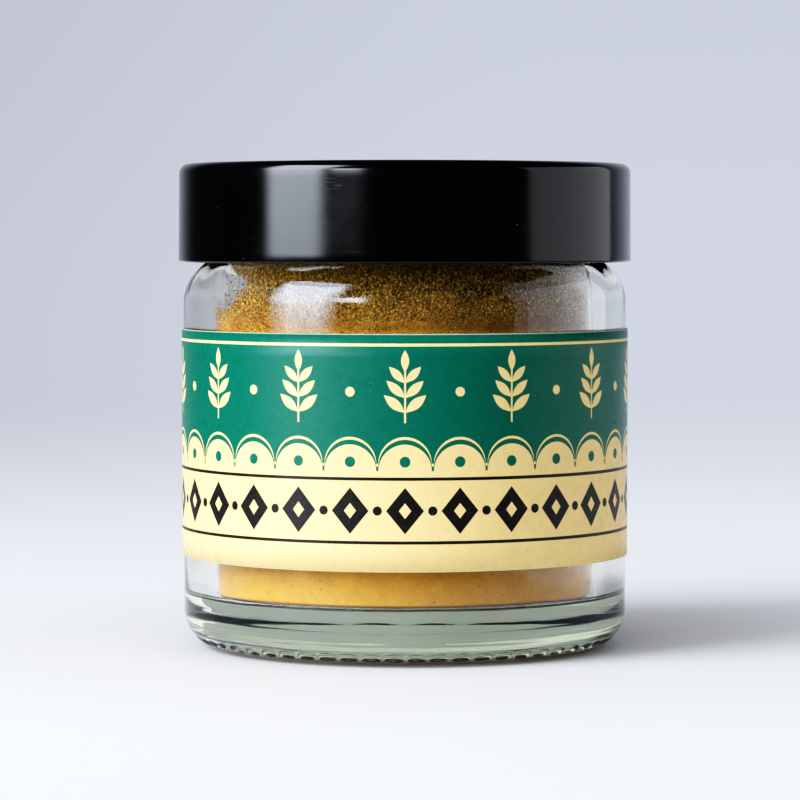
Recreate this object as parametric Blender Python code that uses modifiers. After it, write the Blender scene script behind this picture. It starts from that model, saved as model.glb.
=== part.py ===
"""A 100 ml clear glass spice jar, filled with ground galangal root and closed with a screw lid.

Five separate pieces: the moulded glass jar with its neck thread and knurled foot, the paper
label wrapped round it, the ground spice inside, the lid with its own thread, and the sealing
liner under the lid's top. Metres, +Z up. The origin is the centre of the foot, on the surface
that the jar stands on, and the front of the label faces -Y.
"""

import math

import bmesh
import bpy
from mathutils import Matrix, Vector, noise

MM = 0.001

# Overall sizes
TOTAL_HEIGHT = 65.5 * MM
LID_RADIUS = 30.75 * MM
LID_HEIGHT = 13.3 * MM
BODY_RADIUS = 30.1 * MM
WALL = 4.3 * MM
SEGMENTS = 60

# Colours, in linear RGB
GLASS_COLOUR = (0.86, 0.92, 0.87)
SPICE_COLOUR = (0.55, 0.29, 0.06)
LABEL_COLOUR = (0.01, 0.21, 0.13)
LID_COLOUR = (0.006, 0.006, 0.007)
LINER_COLOUR = (0.75, 0.75, 0.72)
GLASS_IOR = 1.52

# Glass: foot, heel and floor
HEEL_RADIUS = 5.0 * MM
FOOT_WIDTH = 2.3 * MM
PUSH_UP_EDGE = 2.35 * MM
PUSH_UP_CENTRE = 2.8 * MM
FLOOR_EDGE_Z = 7.1 * MM
FLOOR_CENTRE_Z = 7.5 * MM
FLOOR_FILLET = 0.8 * MM
FLOOR_MIDDLE_SHARE = 0.55
PUSH_UP_MIDDLE_SHARE = 0.5
PUSH_UP_MIDDLE_RISE = 0.75

# Glass: shoulder and neck
SHOULDER_Z = 46.8 * MM
SHOULDER_RADIUS = 6.2 * MM
SHOULDER_FILLET = 0.8 * MM
INNER_SHOULDER_BOTTOM_Z = 46.8 * MM
INNER_SHOULDER_TOP_Z = 52.2 * MM
NECK_RADIUS = 26.9 * MM
NECK_INNER_RADIUS = 24.0 * MM
RIM_INNER_ROUND = 1.2 * MM
RIM_OUTER_ROUND = 1.0 * MM

# Lid and liner
LID_TOP_THICKNESS = 1.8 * MM
LID_INNER_RADIUS = 28.6 * MM
LID_DRAFT = 0.1 * MM
LID_TOP_ROUND = 1.3 * MM
LID_HEM_ROUND = 0.3 * MM
LID_MOUTH_CHAMFER = 0.4 * MM
LINER_RADIUS = 28.2 * MM
LINER_THICKNESS = 1.2 * MM
LINER_GAP = 0.3 * MM

# Thread: one right-hand start, a rounded bead on the neck and one in the lid
THREAD_PITCH = 4.0 * MM
THREAD_BEAD = 1.2 * MM
NECK_THREAD_BOTTOM_Z = 55.2 * MM
NECK_THREAD_TURNS = 1.15
LID_THREAD_FIRST_TURN = 0.15
LID_THREAD_LAST_TURN = 1.15
THREAD_FADE_POINTS = 4
POINTS_PER_TURN = 40

# Knurls round the foot's outer edge: low rounded bumps, half sunk in the heel
KNURL_COUNT = 60
KNURL_HEEL_ANGLE = math.radians(38)
KNURL_SINK = 0.2 * MM
KNURL_HALF_SIZES = (1.0 * MM, 1.38 * MM, 0.45 * MM)

# Label
LABEL_BOTTOM_Z = 12.6 * MM
LABEL_TOP_Z = 43.2 * MM
LABEL_INNER_RADIUS = 30.2 * MM
LABEL_THICKNESS = 0.15 * MM
LABEL_SEAM_GAP = 5.0 * MM
LABEL_SEGMENTS = 58

# Ground spice
SPICE_GAP = 0.3 * MM
SPICE_EDGE_Z = 46.3 * MM
SPICE_MOUND = 4.4 * MM
SPICE_MOUND_POWER = 2.2
SPICE_TILT = 0.7 * MM
SPICE_ROUGHNESS = 0.8 * MM
SPICE_LUMP = 7.0 * MM
SPICE_TOP_RINGS = 7

# Heights and radii that follow from the sizes above
LID_BOTTOM_Z = TOTAL_HEIGHT - LID_HEIGHT
LID_CEILING_Z = TOTAL_HEIGHT - LID_TOP_THICKNESS
LINER_TOP_Z = LID_CEILING_Z - LINER_GAP
LINER_BOTTOM_Z = LINER_TOP_Z - LINER_THICKNESS
RIM_Z = LINER_BOTTOM_Z - LINER_GAP
INNER_RADIUS = BODY_RADIUS - WALL
FOOT_OUTER_RADIUS = BODY_RADIUS - HEEL_RADIUS
FOOT_INNER_RADIUS = FOOT_OUTER_RADIUS - FOOT_WIDTH

MERGE = 0.01 * MM


def clear_scene():
    """Removes whatever the file opened with."""
    for obj in list(bpy.data.objects):
        bpy.data.objects.remove(obj, do_unlink=True)


def new_collection(name):
    """A collection linked to the scene."""
    collection = bpy.data.collections.new(name)
    bpy.context.scene.collection.children.link(collection)
    return collection


def make_material(name, colour, roughness, transmission=0.0, ior=1.5):
    """A Principled material."""
    material = bpy.data.materials.new(name)
    material.use_nodes = True
    shader = material.node_tree.nodes["Principled BSDF"]
    shader.inputs["Base Color"].default_value = (*colour, 1.0)
    shader.inputs["Roughness"].default_value = roughness
    shader.inputs["Metallic"].default_value = 0.0
    shader.inputs["Transmission Weight"].default_value = transmission
    shader.inputs["IOR"].default_value = ior
    return material


def arc(centre, radius, start_deg, end_deg, steps):
    """Points (r, z) along an arc, both ends included."""
    points = []
    for i in range(steps + 1):
        angle = math.radians(start_deg + (end_deg - start_deg) * i / steps)
        points.append((centre[0] + radius * math.cos(angle), centre[1] + radius * math.sin(angle)))
    return points


def without_repeats(points):
    """The points with each one that lies on the one before it left out."""
    kept = [points[0]]
    for point in points[1:]:
        if math.dist(point, kept[-1]) > MERGE:
            kept.append(point)
    return kept


def turned(name, outline, collection, material):
    """A turned solid: an outline (r, z) from the axis down its outer side, swept by a Screw modifier."""
    outline = without_repeats(outline)
    mesh = bpy.data.meshes.new(name)
    mesh.from_pydata(
        [(r, 0.0, z) for r, z in outline],
        [(i, i + 1) for i in range(len(outline) - 1)],
        [],
    )
    obj = bpy.data.objects.new(name, mesh)
    obj.data.materials.append(material)
    collection.objects.link(obj)
    screw = obj.modifiers.new("turn", "SCREW")
    screw.axis = "Z"
    screw.steps = SEGMENTS
    screw.render_steps = SEGMENTS
    screw.use_merge_vertices = True
    screw.merge_threshold = MERGE
    screw.use_smooth_shade = True
    return obj


def mesh_from_curve(curve_object, collection):
    """The curve's evaluated mesh as a closed mesh object, with its caps welded. The curve is removed."""
    bpy.context.view_layer.update()
    evaluated = curve_object.evaluated_get(bpy.context.evaluated_depsgraph_get())
    mesh = bpy.data.meshes.new_from_object(evaluated)
    name = curve_object.name
    matrix = curve_object.matrix_world.copy()
    bpy.data.objects.remove(curve_object, do_unlink=True)
    cage = bmesh.new()
    cage.from_mesh(mesh)
    bmesh.ops.remove_doubles(cage, verts=cage.verts, dist=MERGE)
    bmesh.ops.recalc_face_normals(cage, faces=cage.faces)
    cage.to_mesh(mesh)
    cage.free()
    obj = bpy.data.objects.new(name, mesh)
    obj.matrix_world = matrix
    collection.objects.link(obj)
    return obj


def as_helper(obj):
    """Marks an object that only cuts or joins another, so that it isn't a piece."""
    obj.hide_render = True
    obj.display_type = "WIRE"


def thread_bead(name, radius, first_turn, last_turn, first_z, collection):
    """A right-hand helical bead of the thread's pitch that thins out at both ends, as a closed mesh."""
    count = round((last_turn - first_turn) * POINTS_PER_TURN) + 1
    curve = bpy.data.curves.new(name, "CURVE")
    curve.dimensions = "3D"
    curve.bevel_depth = THREAD_BEAD
    curve.bevel_resolution = 1
    curve.use_fill_caps = True
    spline = curve.splines.new("POLY")
    spline.points.add(count - 1)
    for i, point in enumerate(spline.points):
        turn = first_turn + (last_turn - first_turn) * i / (count - 1)
        angle = 2 * math.pi * turn
        from_end = min(i, count - 1 - i)
        fade = min(1.0, (from_end + 1) / (THREAD_FADE_POINTS + 1))
        point.co = (
            radius * math.cos(angle),
            radius * math.sin(angle),
            first_z + THREAD_PITCH * (turn - first_turn),
            1.0,
        )
        point.radius = fade
    curve_object = bpy.data.objects.new(name, curve)
    collection.objects.link(curve_object)
    bead = mesh_from_curve(curve_object, collection)
    as_helper(bead)
    return bead


def join_by_union(obj, helper):
    """Adds a Boolean union of obj with a helper mesh."""
    union = obj.modifiers.new("join_" + helper.name, "BOOLEAN")
    union.operation = "UNION"
    union.solver = "EXACT"
    union.object = helper


def shoulder_outline():
    """The neck's foot and the rounded shoulder, from the neck wall down to the body wall."""
    centre = (BODY_RADIUS - SHOULDER_RADIUS, SHOULDER_Z)
    fillet_r = NECK_RADIUS + SHOULDER_FILLET
    between = SHOULDER_RADIUS + SHOULDER_FILLET
    fillet_z = SHOULDER_Z + math.sqrt(between**2 - (fillet_r - centre[0]) ** 2)
    meeting = math.degrees(math.atan2(fillet_z - centre[1], fillet_r - centre[0]))
    fillet = arc((fillet_r, fillet_z), SHOULDER_FILLET, 180, 180 + meeting, 3)
    return fillet + arc(centre, SHOULDER_RADIUS, meeting, 0, 6)


def inner_shoulder_outline():
    """The inside of the shoulder, an S-curve from the body's bore up to the neck's bore."""
    steps = 6
    points = []
    for i in range(steps + 1):
        t = i / steps
        ease = (1 + math.cos(math.pi * t)) / 2
        r = NECK_INNER_RADIUS + (INNER_RADIUS - NECK_INNER_RADIUS) * ease
        z = INNER_SHOULDER_BOTTOM_Z + (INNER_SHOULDER_TOP_Z - INNER_SHOULDER_BOTTOM_Z) * t
        points.append((r, z))
    return points


def floor_outline():
    """The inside floor, which rises a little to its middle, and the fillet up to the wall."""
    fillet_r = INNER_RADIUS - FLOOR_FILLET
    fillet = arc((fillet_r, FLOOR_EDGE_Z + FLOOR_FILLET), FLOOR_FILLET, -90, 0, 5)
    middle = (FLOOR_MIDDLE_SHARE * fillet_r, (FLOOR_CENTRE_Z + FLOOR_EDGE_Z) / 2)
    return [(0.0, FLOOR_CENTRE_Z), middle] + fillet


def foot_outline():
    """The heel, the flat ring that the jar stands on, and the pushed-up underside to the axis."""
    heel = arc((FOOT_OUTER_RADIUS, HEEL_RADIUS), HEEL_RADIUS, 0, -90, 6)
    step_r = FOOT_INNER_RADIUS - PUSH_UP_EDGE
    step = arc((step_r, 0.0), PUSH_UP_EDGE, 0, 90, 3)
    middle_z = PUSH_UP_EDGE + PUSH_UP_MIDDLE_RISE * (PUSH_UP_CENTRE - PUSH_UP_EDGE)
    middle = (PUSH_UP_MIDDLE_SHARE * step_r, middle_z)
    return heel + step + [middle, (0.0, PUSH_UP_CENTRE)]


def glass_outline():
    """The whole jar's outline, from the middle of its floor, over the rim, to the middle of its underside."""
    inner_rim_r = NECK_INNER_RADIUS + RIM_INNER_ROUND
    outer_rim_r = NECK_RADIUS - RIM_OUTER_ROUND
    rim = arc((inner_rim_r, RIM_Z - RIM_INNER_ROUND), RIM_INNER_ROUND, 180, 90, 3)
    rim += arc((outer_rim_r, RIM_Z - RIM_OUTER_ROUND), RIM_OUTER_ROUND, 90, 0, 3)
    return floor_outline() + inner_shoulder_outline() + rim + shoulder_outline() + foot_outline()


def knurls(collection):
    """The ring of low bumps round the foot's outer edge, as one helper mesh of loose bumps."""
    along_r = math.sin(KNURL_HEEL_ANGLE)
    along_z = math.cos(KNURL_HEEL_ANGLE)
    centre_r = FOOT_OUTER_RADIUS + (HEEL_RADIUS - KNURL_SINK) * along_r
    centre_z = HEEL_RADIUS - (HEEL_RADIUS - KNURL_SINK) * along_z
    cage = bmesh.new()
    for i in range(KNURL_COUNT):
        place = (
            Matrix.Rotation(2 * math.pi * (i + 0.5) / KNURL_COUNT, 4, "Z")
            @ Matrix.Translation((centre_r, 0.0, centre_z))
            @ Matrix.Rotation(-KNURL_HEEL_ANGLE, 4, "Y")
            @ Matrix.Diagonal((*KNURL_HALF_SIZES, 1.0))
        )
        bmesh.ops.create_icosphere(cage, subdivisions=1, radius=1.0, matrix=place)
    mesh = bpy.data.meshes.new("foot_knurls")
    cage.to_mesh(mesh)
    cage.free()
    obj = bpy.data.objects.new("foot_knurls", mesh)
    collection.objects.link(obj)
    as_helper(obj)
    return obj


def glass_jar(pieces, helpers):
    """The moulded glass: body, neck, thread and knurled foot in one."""
    glass = make_material("clear_glass", GLASS_COLOUR, 0.03, transmission=1.0, ior=GLASS_IOR)
    jar = turned("glass_jar", glass_outline(), pieces, glass)
    join_by_union(
        jar,
        thread_bead("neck_thread", NECK_RADIUS, 0.0, NECK_THREAD_TURNS, NECK_THREAD_BOTTOM_Z, helpers),
    )
    join_by_union(jar, knurls(helpers))
    return jar


def spice_top_height(x, y):
    """The height of the spice's top: a low mound, leaning to one side, with soft lumps."""
    edge = INNER_RADIUS - SPICE_GAP
    share = min(1.0, math.hypot(x, y) / edge)
    lump = noise.noise(Vector((x, y, 0.0)) / SPICE_LUMP)
    return (
        SPICE_EDGE_Z
        + SPICE_MOUND * (1 - share**SPICE_MOUND_POWER)
        + SPICE_TILT * x / edge
        + SPICE_ROUGHNESS * lump
    )


def ground_spice(pieces):
    """The ground spice, filling the jar to its shoulder under a rough, low mound."""
    colour = make_material("ground_spice", SPICE_COLOUR, 0.9)
    outline = [(max(0.0, r - SPICE_GAP), z + SPICE_GAP) for r, z in floor_outline()]
    edge = INNER_RADIUS - SPICE_GAP
    top = [(edge * i / SPICE_TOP_RINGS, SPICE_EDGE_Z) for i in range(SPICE_TOP_RINGS + 1)]
    spice = turned("ground_spice", top + outline[::-1], pieces, colour)
    raise_top(spice)
    return spice


def raise_top(spice):
    """Applies the turning, then lifts every point of the flat top to the height of the mound there."""
    bpy.context.view_layer.update()
    evaluated = spice.evaluated_get(bpy.context.evaluated_depsgraph_get())
    mesh = bpy.data.meshes.new_from_object(evaluated)
    spice.modifiers.clear()
    spice.data = mesh
    for vertex in mesh.vertices:
        if vertex.co.z > SPICE_EDGE_Z - MERGE:
            vertex.co.z = spice_top_height(vertex.co.x, vertex.co.y)


def paper_label(pieces):
    """The printed label, a strip bent round the body that leaves a narrow gap at the back."""
    paper = make_material("label_paper", LABEL_COLOUR, 0.55)
    gap_angle = LABEL_SEAM_GAP / LABEL_INNER_RADIUS
    start = math.pi / 2 + gap_angle / 2
    mesh = bpy.data.meshes.new("paper_label")
    mesh.from_pydata(
        [
            (LABEL_INNER_RADIUS * math.cos(start), LABEL_INNER_RADIUS * math.sin(start), z)
            for z in (LABEL_TOP_Z, LABEL_BOTTOM_Z)
        ],
        [(0, 1)],
        [],
    )
    label = bpy.data.objects.new("paper_label", mesh)
    label.data.materials.append(paper)
    pieces.objects.link(label)
    bend = label.modifiers.new("bend", "SCREW")
    bend.axis = "Z"
    bend.angle = 2 * math.pi - gap_angle
    bend.steps = LABEL_SEGMENTS
    bend.render_steps = LABEL_SEGMENTS
    bend.use_smooth_shade = True
    thick = label.modifiers.new("paper", "SOLIDIFY")
    thick.thickness = LABEL_THICKNESS
    thick.offset = 1.0
    thick.use_even_offset = True
    return label


def lid_outline():
    """The lid's outline in its own frame, whose zero is the lid's lower edge."""
    top_r = LID_RADIUS - LID_DRAFT - LID_TOP_ROUND
    ceiling = LID_HEIGHT - LID_TOP_THICKNESS
    outside = [(0.0, LID_HEIGHT)]
    outside += arc((top_r, LID_HEIGHT - LID_TOP_ROUND), LID_TOP_ROUND, 90, 0, 4)
    hem = arc((LID_RADIUS - LID_HEM_ROUND, LID_HEM_ROUND), LID_HEM_ROUND, 0, -90, 2)
    mouth = [
        (LID_INNER_RADIUS + LID_MOUTH_CHAMFER, 0.0),
        (LID_INNER_RADIUS, LID_MOUTH_CHAMFER),
    ]
    return outside + hem + mouth + [(LID_INNER_RADIUS, ceiling), (0.0, ceiling)]


def screw_lid(pieces, helpers, axis):
    """The moulded lid with the thread inside its skirt."""
    plastic = make_material("black_plastic", LID_COLOUR, 0.2)
    lid = turned("screw_lid", lid_outline(), pieces, plastic)
    lid.parent = axis
    helix_start = NECK_THREAD_BOTTOM_Z + THREAD_PITCH * LID_THREAD_FIRST_TURN - THREAD_PITCH / 2
    bead = thread_bead(
        "lid_thread", LID_INNER_RADIUS, LID_THREAD_FIRST_TURN, LID_THREAD_LAST_TURN, helix_start, helpers
    )
    join_by_union(lid, bead)
    return lid


def sealing_liner(pieces, axis):
    """The soft disc that the lid presses on the rim, in the lid's frame."""
    foam = make_material("liner_foam", LINER_COLOUR, 0.8)
    top = LINER_TOP_Z - LID_BOTTOM_Z
    bottom = LINER_BOTTOM_Z - LID_BOTTOM_Z
    outline = [(0.0, top), (LINER_RADIUS, top), (LINER_RADIUS, bottom), (0.0, bottom)]
    liner = turned("sealing_liner", outline, pieces, foam)
    liner.parent = axis
    return liner


def main():
    """Builds the jar and its parts."""
    clear_scene()
    pieces = new_collection("spice_jar")
    helpers = new_collection("joined_shapes")
    lid_axis = bpy.data.objects.new("lid_axis", None)
    lid_axis.location = (0.0, 0.0, LID_BOTTOM_Z)
    pieces.objects.link(lid_axis)
    glass_jar(pieces, helpers)
    ground_spice(pieces)
    paper_label(pieces)
    screw_lid(pieces, helpers, lid_axis)
    sealing_liner(pieces, lid_axis)


main()
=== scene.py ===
"""The looks of a clear glass jar of ground galangal: its five pieces and a small studio round them.

Every class holds one piece or one finish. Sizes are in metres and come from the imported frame
where the frame has them. The front of the label faces -Y, and +Z is up.
"""

import logging
import math
from dataclasses import dataclass, field
from enum import Enum

import bmesh
import bpy
from mathutils import Matrix, Vector, noise


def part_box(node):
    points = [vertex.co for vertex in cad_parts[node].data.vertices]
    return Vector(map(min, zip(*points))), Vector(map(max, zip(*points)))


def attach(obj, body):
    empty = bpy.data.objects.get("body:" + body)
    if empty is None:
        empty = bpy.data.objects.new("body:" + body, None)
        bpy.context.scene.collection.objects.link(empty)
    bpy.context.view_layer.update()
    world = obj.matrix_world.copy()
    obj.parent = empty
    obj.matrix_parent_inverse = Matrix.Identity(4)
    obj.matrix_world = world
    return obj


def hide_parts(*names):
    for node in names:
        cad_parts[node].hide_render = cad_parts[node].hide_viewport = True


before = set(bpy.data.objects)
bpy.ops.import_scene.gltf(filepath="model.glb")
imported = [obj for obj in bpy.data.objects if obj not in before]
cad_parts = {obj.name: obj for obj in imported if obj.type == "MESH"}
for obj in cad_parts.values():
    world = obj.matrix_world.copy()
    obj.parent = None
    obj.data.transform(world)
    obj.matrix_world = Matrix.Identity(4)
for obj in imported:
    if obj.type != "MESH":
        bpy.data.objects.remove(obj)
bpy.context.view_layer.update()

MM = 0.001
WELD = 0.002 * MM
TURN = 2 * math.pi
GRAIN_MIDDLE = 0.75
WHITE = (1.0, 1.0, 1.0)
MARKS = ("thread", "knurl", "ripple")
SHADE = "bit_shade"
RIPPLE_SQUEEZE = 2.6

log = logging.getLogger("spice_jar")

Socket = bpy.types.NodeSocket
Outputs = bpy.types.bpy_prop_collection
Value = float | int | tuple | Socket
Colour = tuple[float, float, float]
Point = tuple[float, float]

FLOAT = "NodeSocketFloat"
WHOLE = "NodeSocketInt"
VECTOR = "NodeSocketVector"
GEOMETRY = "NodeSocketGeometry"
MATERIAL = "NodeSocketMaterial"


class Slot(Enum):
    """The record's material slots."""

    GLASS = "clear_glass"
    SPICE = "ground_spice"
    PAPER = "label_paper"
    PLASTIC = "black_plastic"
    FOAM = "liner_foam"


class Body(Enum):
    """The bodies that pieces ride on."""

    JAR = "jar"
    LINER = "liner"
    LID = "lid"


class Tree:
    """A node tree being built. Each method adds a node and gives back its output."""

    def __init__(self, tree: bpy.types.NodeTree) -> None:
        """Keeps the tree that the nodes go into."""
        self.tree = tree

    def feed(self, socket: Socket, value: Value | None) -> None:
        """Links an output to an input, or sets the input's own value.

        Args:
            socket: the input.
            value: an output, a number, a colour or vector, or None to leave the input as it is.
        """
        if isinstance(value, Socket):
            self.tree.links.new(value, socket)
        elif value is not None:
            socket.default_value = value

    def add(self, kind: str, inputs: dict | None = None, **settings: object) -> bpy.types.Node:
        """Adds a node.

        Args:
            kind: the node's type name.
            inputs: input name or number to its value or the output that feeds it.
            settings: the node's own settings, such as operation.

        Returns:
            The node.
        """
        node = self.tree.nodes.new(kind)
        for name, value in settings.items():
            setattr(node, name, value)
        for key, value in (inputs or {}).items():
            self.feed(node.inputs[key], value)
        return node

    def math(self, operation: str, *values: Value, clamp: bool = False) -> Socket:
        """The result of a Math node on up to three values."""
        inputs = dict(enumerate(values))
        return self.add("ShaderNodeMath", inputs, operation=operation, use_clamp=clamp).outputs[0]

    def times(self, first: Value, second: Value) -> Socket:
        """The product of two numbers."""
        return self.math("MULTIPLY", first, second)

    def plus(self, first: Value, second: Value) -> Socket:
        """The sum of two numbers."""
        return self.math("ADD", first, second)

    def minus(self, first: Value, second: Value) -> Socket:
        """The first number less the second."""
        return self.math("SUBTRACT", first, second)

    def per(self, size: Value) -> Value:
        """One over a size: an output for an output, and a number for a number."""
        return self.math("DIVIDE", 1.0, size) if isinstance(size, Socket) else 1 / size

    def vector(self, operation: str, *values: Value) -> Socket:
        """The vector result of a Vector Math node."""
        inputs = dict(enumerate(values))
        return self.add("ShaderNodeVectorMath", inputs, operation=operation).outputs[0]

    def scaled(self, vector: Value, factor: Value) -> Socket:
        """The vector times a number."""
        inputs = {0: vector, "Scale": factor}
        return self.add("ShaderNodeVectorMath", inputs, operation="SCALE").outputs[0]

    def split(self, vector: Value) -> tuple[Socket, Socket, Socket]:
        """The X, Y and Z of a vector."""
        return tuple(self.add("ShaderNodeSeparateXYZ", {0: vector}).outputs)

    def join(self, x: Value, y: Value, z: Value) -> Socket:
        """A vector from its X, Y and Z."""
        return self.add("ShaderNodeCombineXYZ", {0: x, 1: y, 2: z}).outputs[0]

    def even(self, value: Value) -> Socket:
        """A vector, or a grey, with the same number three times."""
        return self.join(value, value, value)

    def reach(self, x: Value, y: Value) -> Socket:
        """The length of a flat vector."""
        return self.math("SQRT", self.plus(self.times(x, x), self.times(y, y)))

    def ramp(self, value: Value, low: Value, high: Value, to: Point = (0.0, 1.0)) -> Socket:
        """The value taken smoothly from to[0] at low to to[1] at high, and no further.

        Args:
            value: what is mapped.
            low: the value that gives to[0].
            high: the value that gives to[1].
            to: the two ends of the result.

        Returns:
            The mapped value.
        """
        inputs = {0: value, 1: low, 2: high, 3: to[0], 4: to[1]}
        return self.add("ShaderNodeMapRange", inputs, interpolation_type="SMOOTHSTEP").outputs[0]

    def mix(self, factor: Value, first: Value, second: Value, blend: str = "MIX") -> Socket:
        """A mix of two colours.

        Args:
            factor: the share of the second.
            first: a colour.
            second: a colour.
            blend: how they are mixed.

        Returns:
            The mixed colour.
        """
        node = self.add("ShaderNodeMix", data_type="RGBA", blend_type=blend, clamp_factor=True)
        self.feed(node.inputs["Factor"], factor)
        colour_inputs = [s for s in node.inputs if s.type == "RGBA"]
        for socket, value in zip(colour_inputs, (first, second)):
            self.feed(socket, rgba(value) if isinstance(value, tuple) else value)
        return next(s for s in node.outputs if s.type == "RGBA")

    def shaded(self, colour: Value, shade: Value) -> Socket:
        """A colour made lighter or darker by a shade about 1."""
        return self.mix(1.0, colour, self.even(shade), blend="MULTIPLY")

    def noise(self, vector: Value, size: Value, detail: float = 2.0, rough: float = 0.5) -> Socket:
        """A noise value about 0.5, whose lumps are about size across."""
        inputs = {"Vector": vector, "Scale": self.per(size), "Detail": detail, "Roughness": rough}
        return self.add("ShaderNodeTexNoise", inputs).outputs[0]

    def marked(self, name: str) -> Socket:
        """A number that is stored on the mesh under a name."""
        node = self.add("GeometryNodeInputNamedAttribute", {"Name": name}, data_type="FLOAT")
        return node.outputs["Attribute"]

    def stored(self, mesh: Socket, name: str, value: Value, domain: str = "POINT") -> Socket:
        """The mesh with a number stored on each point or copy."""
        inputs = {"Geometry": mesh, "Name": name, "Value": value}
        node = self.add("GeometryNodeStoreNamedAttribute", inputs, data_type="FLOAT", domain=domain)
        return node.outputs[0]

    def cells(self, vector: Value, size: Value) -> Outputs:
        """A texture of cells about size across: the Distance to a cell's middle, and its own Color."""
        return self.add("ShaderNodeTexVoronoi", {"Vector": vector, "Scale": self.per(size)}).outputs

    def group(self, group: bpy.types.NodeTree, **inputs: Value) -> Outputs:
        """The outputs of a shader group, after feeding its named inputs."""
        return self.add("ShaderNodeGroup", inputs, node_tree=group).outputs


def rgba(colour: Colour) -> tuple[float, float, float, float]:
    """The colour with full alpha."""
    return (colour[0], colour[1], colour[2], 1.0)


def new_group(name: str, kind: str, inputs: dict[str, tuple], outputs: dict[str, str]) -> tuple:
    """Starts a node group with named sockets.

    Args:
        name: the group's name.
        kind: ShaderNodeTree or GeometryNodeTree.
        inputs: socket name to its type and, for all but geometry and material, its usual value.
        outputs: socket name to its type.

    Returns:
        The Tree, its input node's outputs by name, and its output node.
    """
    tree = bpy.data.node_groups.new(name, kind)
    for label, facts in inputs.items():
        socket = tree.interface.new_socket(name=label, in_out="INPUT", socket_type=facts[0])
        if len(facts) > 1:
            socket.default_value = facts[1]
    for label, socket_type in outputs.items():
        tree.interface.new_socket(name=label, in_out="OUTPUT", socket_type=socket_type)
    start = tree.nodes.new("NodeGroupInput")
    end = tree.nodes.new("NodeGroupOutput")
    return Tree(tree), {s.name: s for s in start.outputs}, end


# Shader groups that several finishes share


def dust_group() -> bpy.types.NodeTree:
    """Scattered specks of dust, as a mask that is 1 on a speck.

    Returns:
        The group, with Vector, Size and Amount in and Mask out.
    """
    inputs = {"Vector": (VECTOR,), "Size": (FLOAT, 0.5 * MM), "Amount": (FLOAT, 0.1)}
    tree, given, end = new_group("dust", "ShaderNodeTree", inputs, {"Mask": FLOAT})
    least_reach, more_reach = 0.06, 0.22
    firm_share = 0.5
    cells = tree.cells(given["Vector"], given["Size"])
    chance, spread, _ = tree.split(cells["Color"])
    chosen = tree.math("LESS_THAN", chance, given["Amount"])
    reach = tree.math("MULTIPLY_ADD", spread, more_reach, least_reach)
    speck = tree.ramp(cells["Distance"], reach, tree.times(reach, firm_share))
    tree.feed(end.inputs["Mask"], tree.times(speck, chosen))
    return tree.tree


def scuffs_group() -> bpy.types.NodeTree:
    """Fine scratches that run mostly along one direction, as a mask.

    Returns:
        The group, with Vector, Width and Amount in and Mask out. The scratches run along Vector's X.
    """
    inputs = {"Vector": (VECTOR,), "Width": (FLOAT, 0.06 * MM), "Amount": (FLOAT, 0.3)}
    tree, given, end = new_group("scuffs", "ShaderNodeTree", inputs, {"Mask": FLOAT})
    slants_and_stretches = ((0.10, 26.0), (-0.22, 18.0))
    lines_per_width = 0.35
    line_edge = (0.64, 0.72)
    patch_size, patch_edge = 7 * MM, (0.42, 0.62)
    x, y, z = tree.split(given["Vector"])
    lines = []
    for slant, stretch in slants_and_stretches:
        across = tree.math("MULTIPLY_ADD", x, slant, y)
        along = tree.math("DIVIDE", x, stretch)
        place = tree.vector("DIVIDE", tree.join(along, across, z), tree.even(given["Width"]))
        lines.append(tree.ramp(tree.noise(place, 1 / lines_per_width, detail=1.0), *line_edge))
    patch = tree.ramp(tree.noise(given["Vector"], patch_size), *patch_edge)
    worn = tree.times(tree.math("MAXIMUM", *lines), patch)
    tree.feed(end.inputs["Mask"], tree.times(worn, given["Amount"]))
    return tree.tree


def grain_group() -> bpy.types.NodeTree:
    """Uneven fine grain at two sizes, as a height and as a shade about 1.

    Returns:
        The group, with Vector, Size and Contrast in, and Height and Shade out.
    """
    inputs = {"Vector": (VECTOR,), "Size": (FLOAT, 0.3 * MM), "Contrast": (FLOAT, 0.2)}
    outputs = {"Height": FLOAT, "Shade": FLOAT}
    tree, given, end = new_group("grain", "ShaderNodeTree", inputs, outputs)
    fineness, broad_share = 0.12, 0.5
    fine = tree.noise(given["Vector"], given["Size"], detail=3.0, rough=0.6)
    broad = tree.noise(given["Vector"], tree.math("DIVIDE", given["Size"], fineness))
    height = tree.math("MULTIPLY_ADD", broad, broad_share, fine)
    tree.feed(end.inputs["Height"], height)
    centred = tree.minus(height, GRAIN_MIDDLE)
    tree.feed(end.inputs["Shade"], tree.math("MULTIPLY_ADD", centred, given["Contrast"], 1.0))
    return tree.tree


@dataclass(frozen=True)
class SharedEffects:
    """The shader groups that more than one finish places."""

    dust: bpy.types.NodeTree
    scuffs: bpy.types.NodeTree
    grain: bpy.types.NodeTree

    @classmethod
    def build(cls) -> "SharedEffects":
        """Builds each group once."""
        return cls(dust_group(), scuffs_group(), grain_group())


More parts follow.
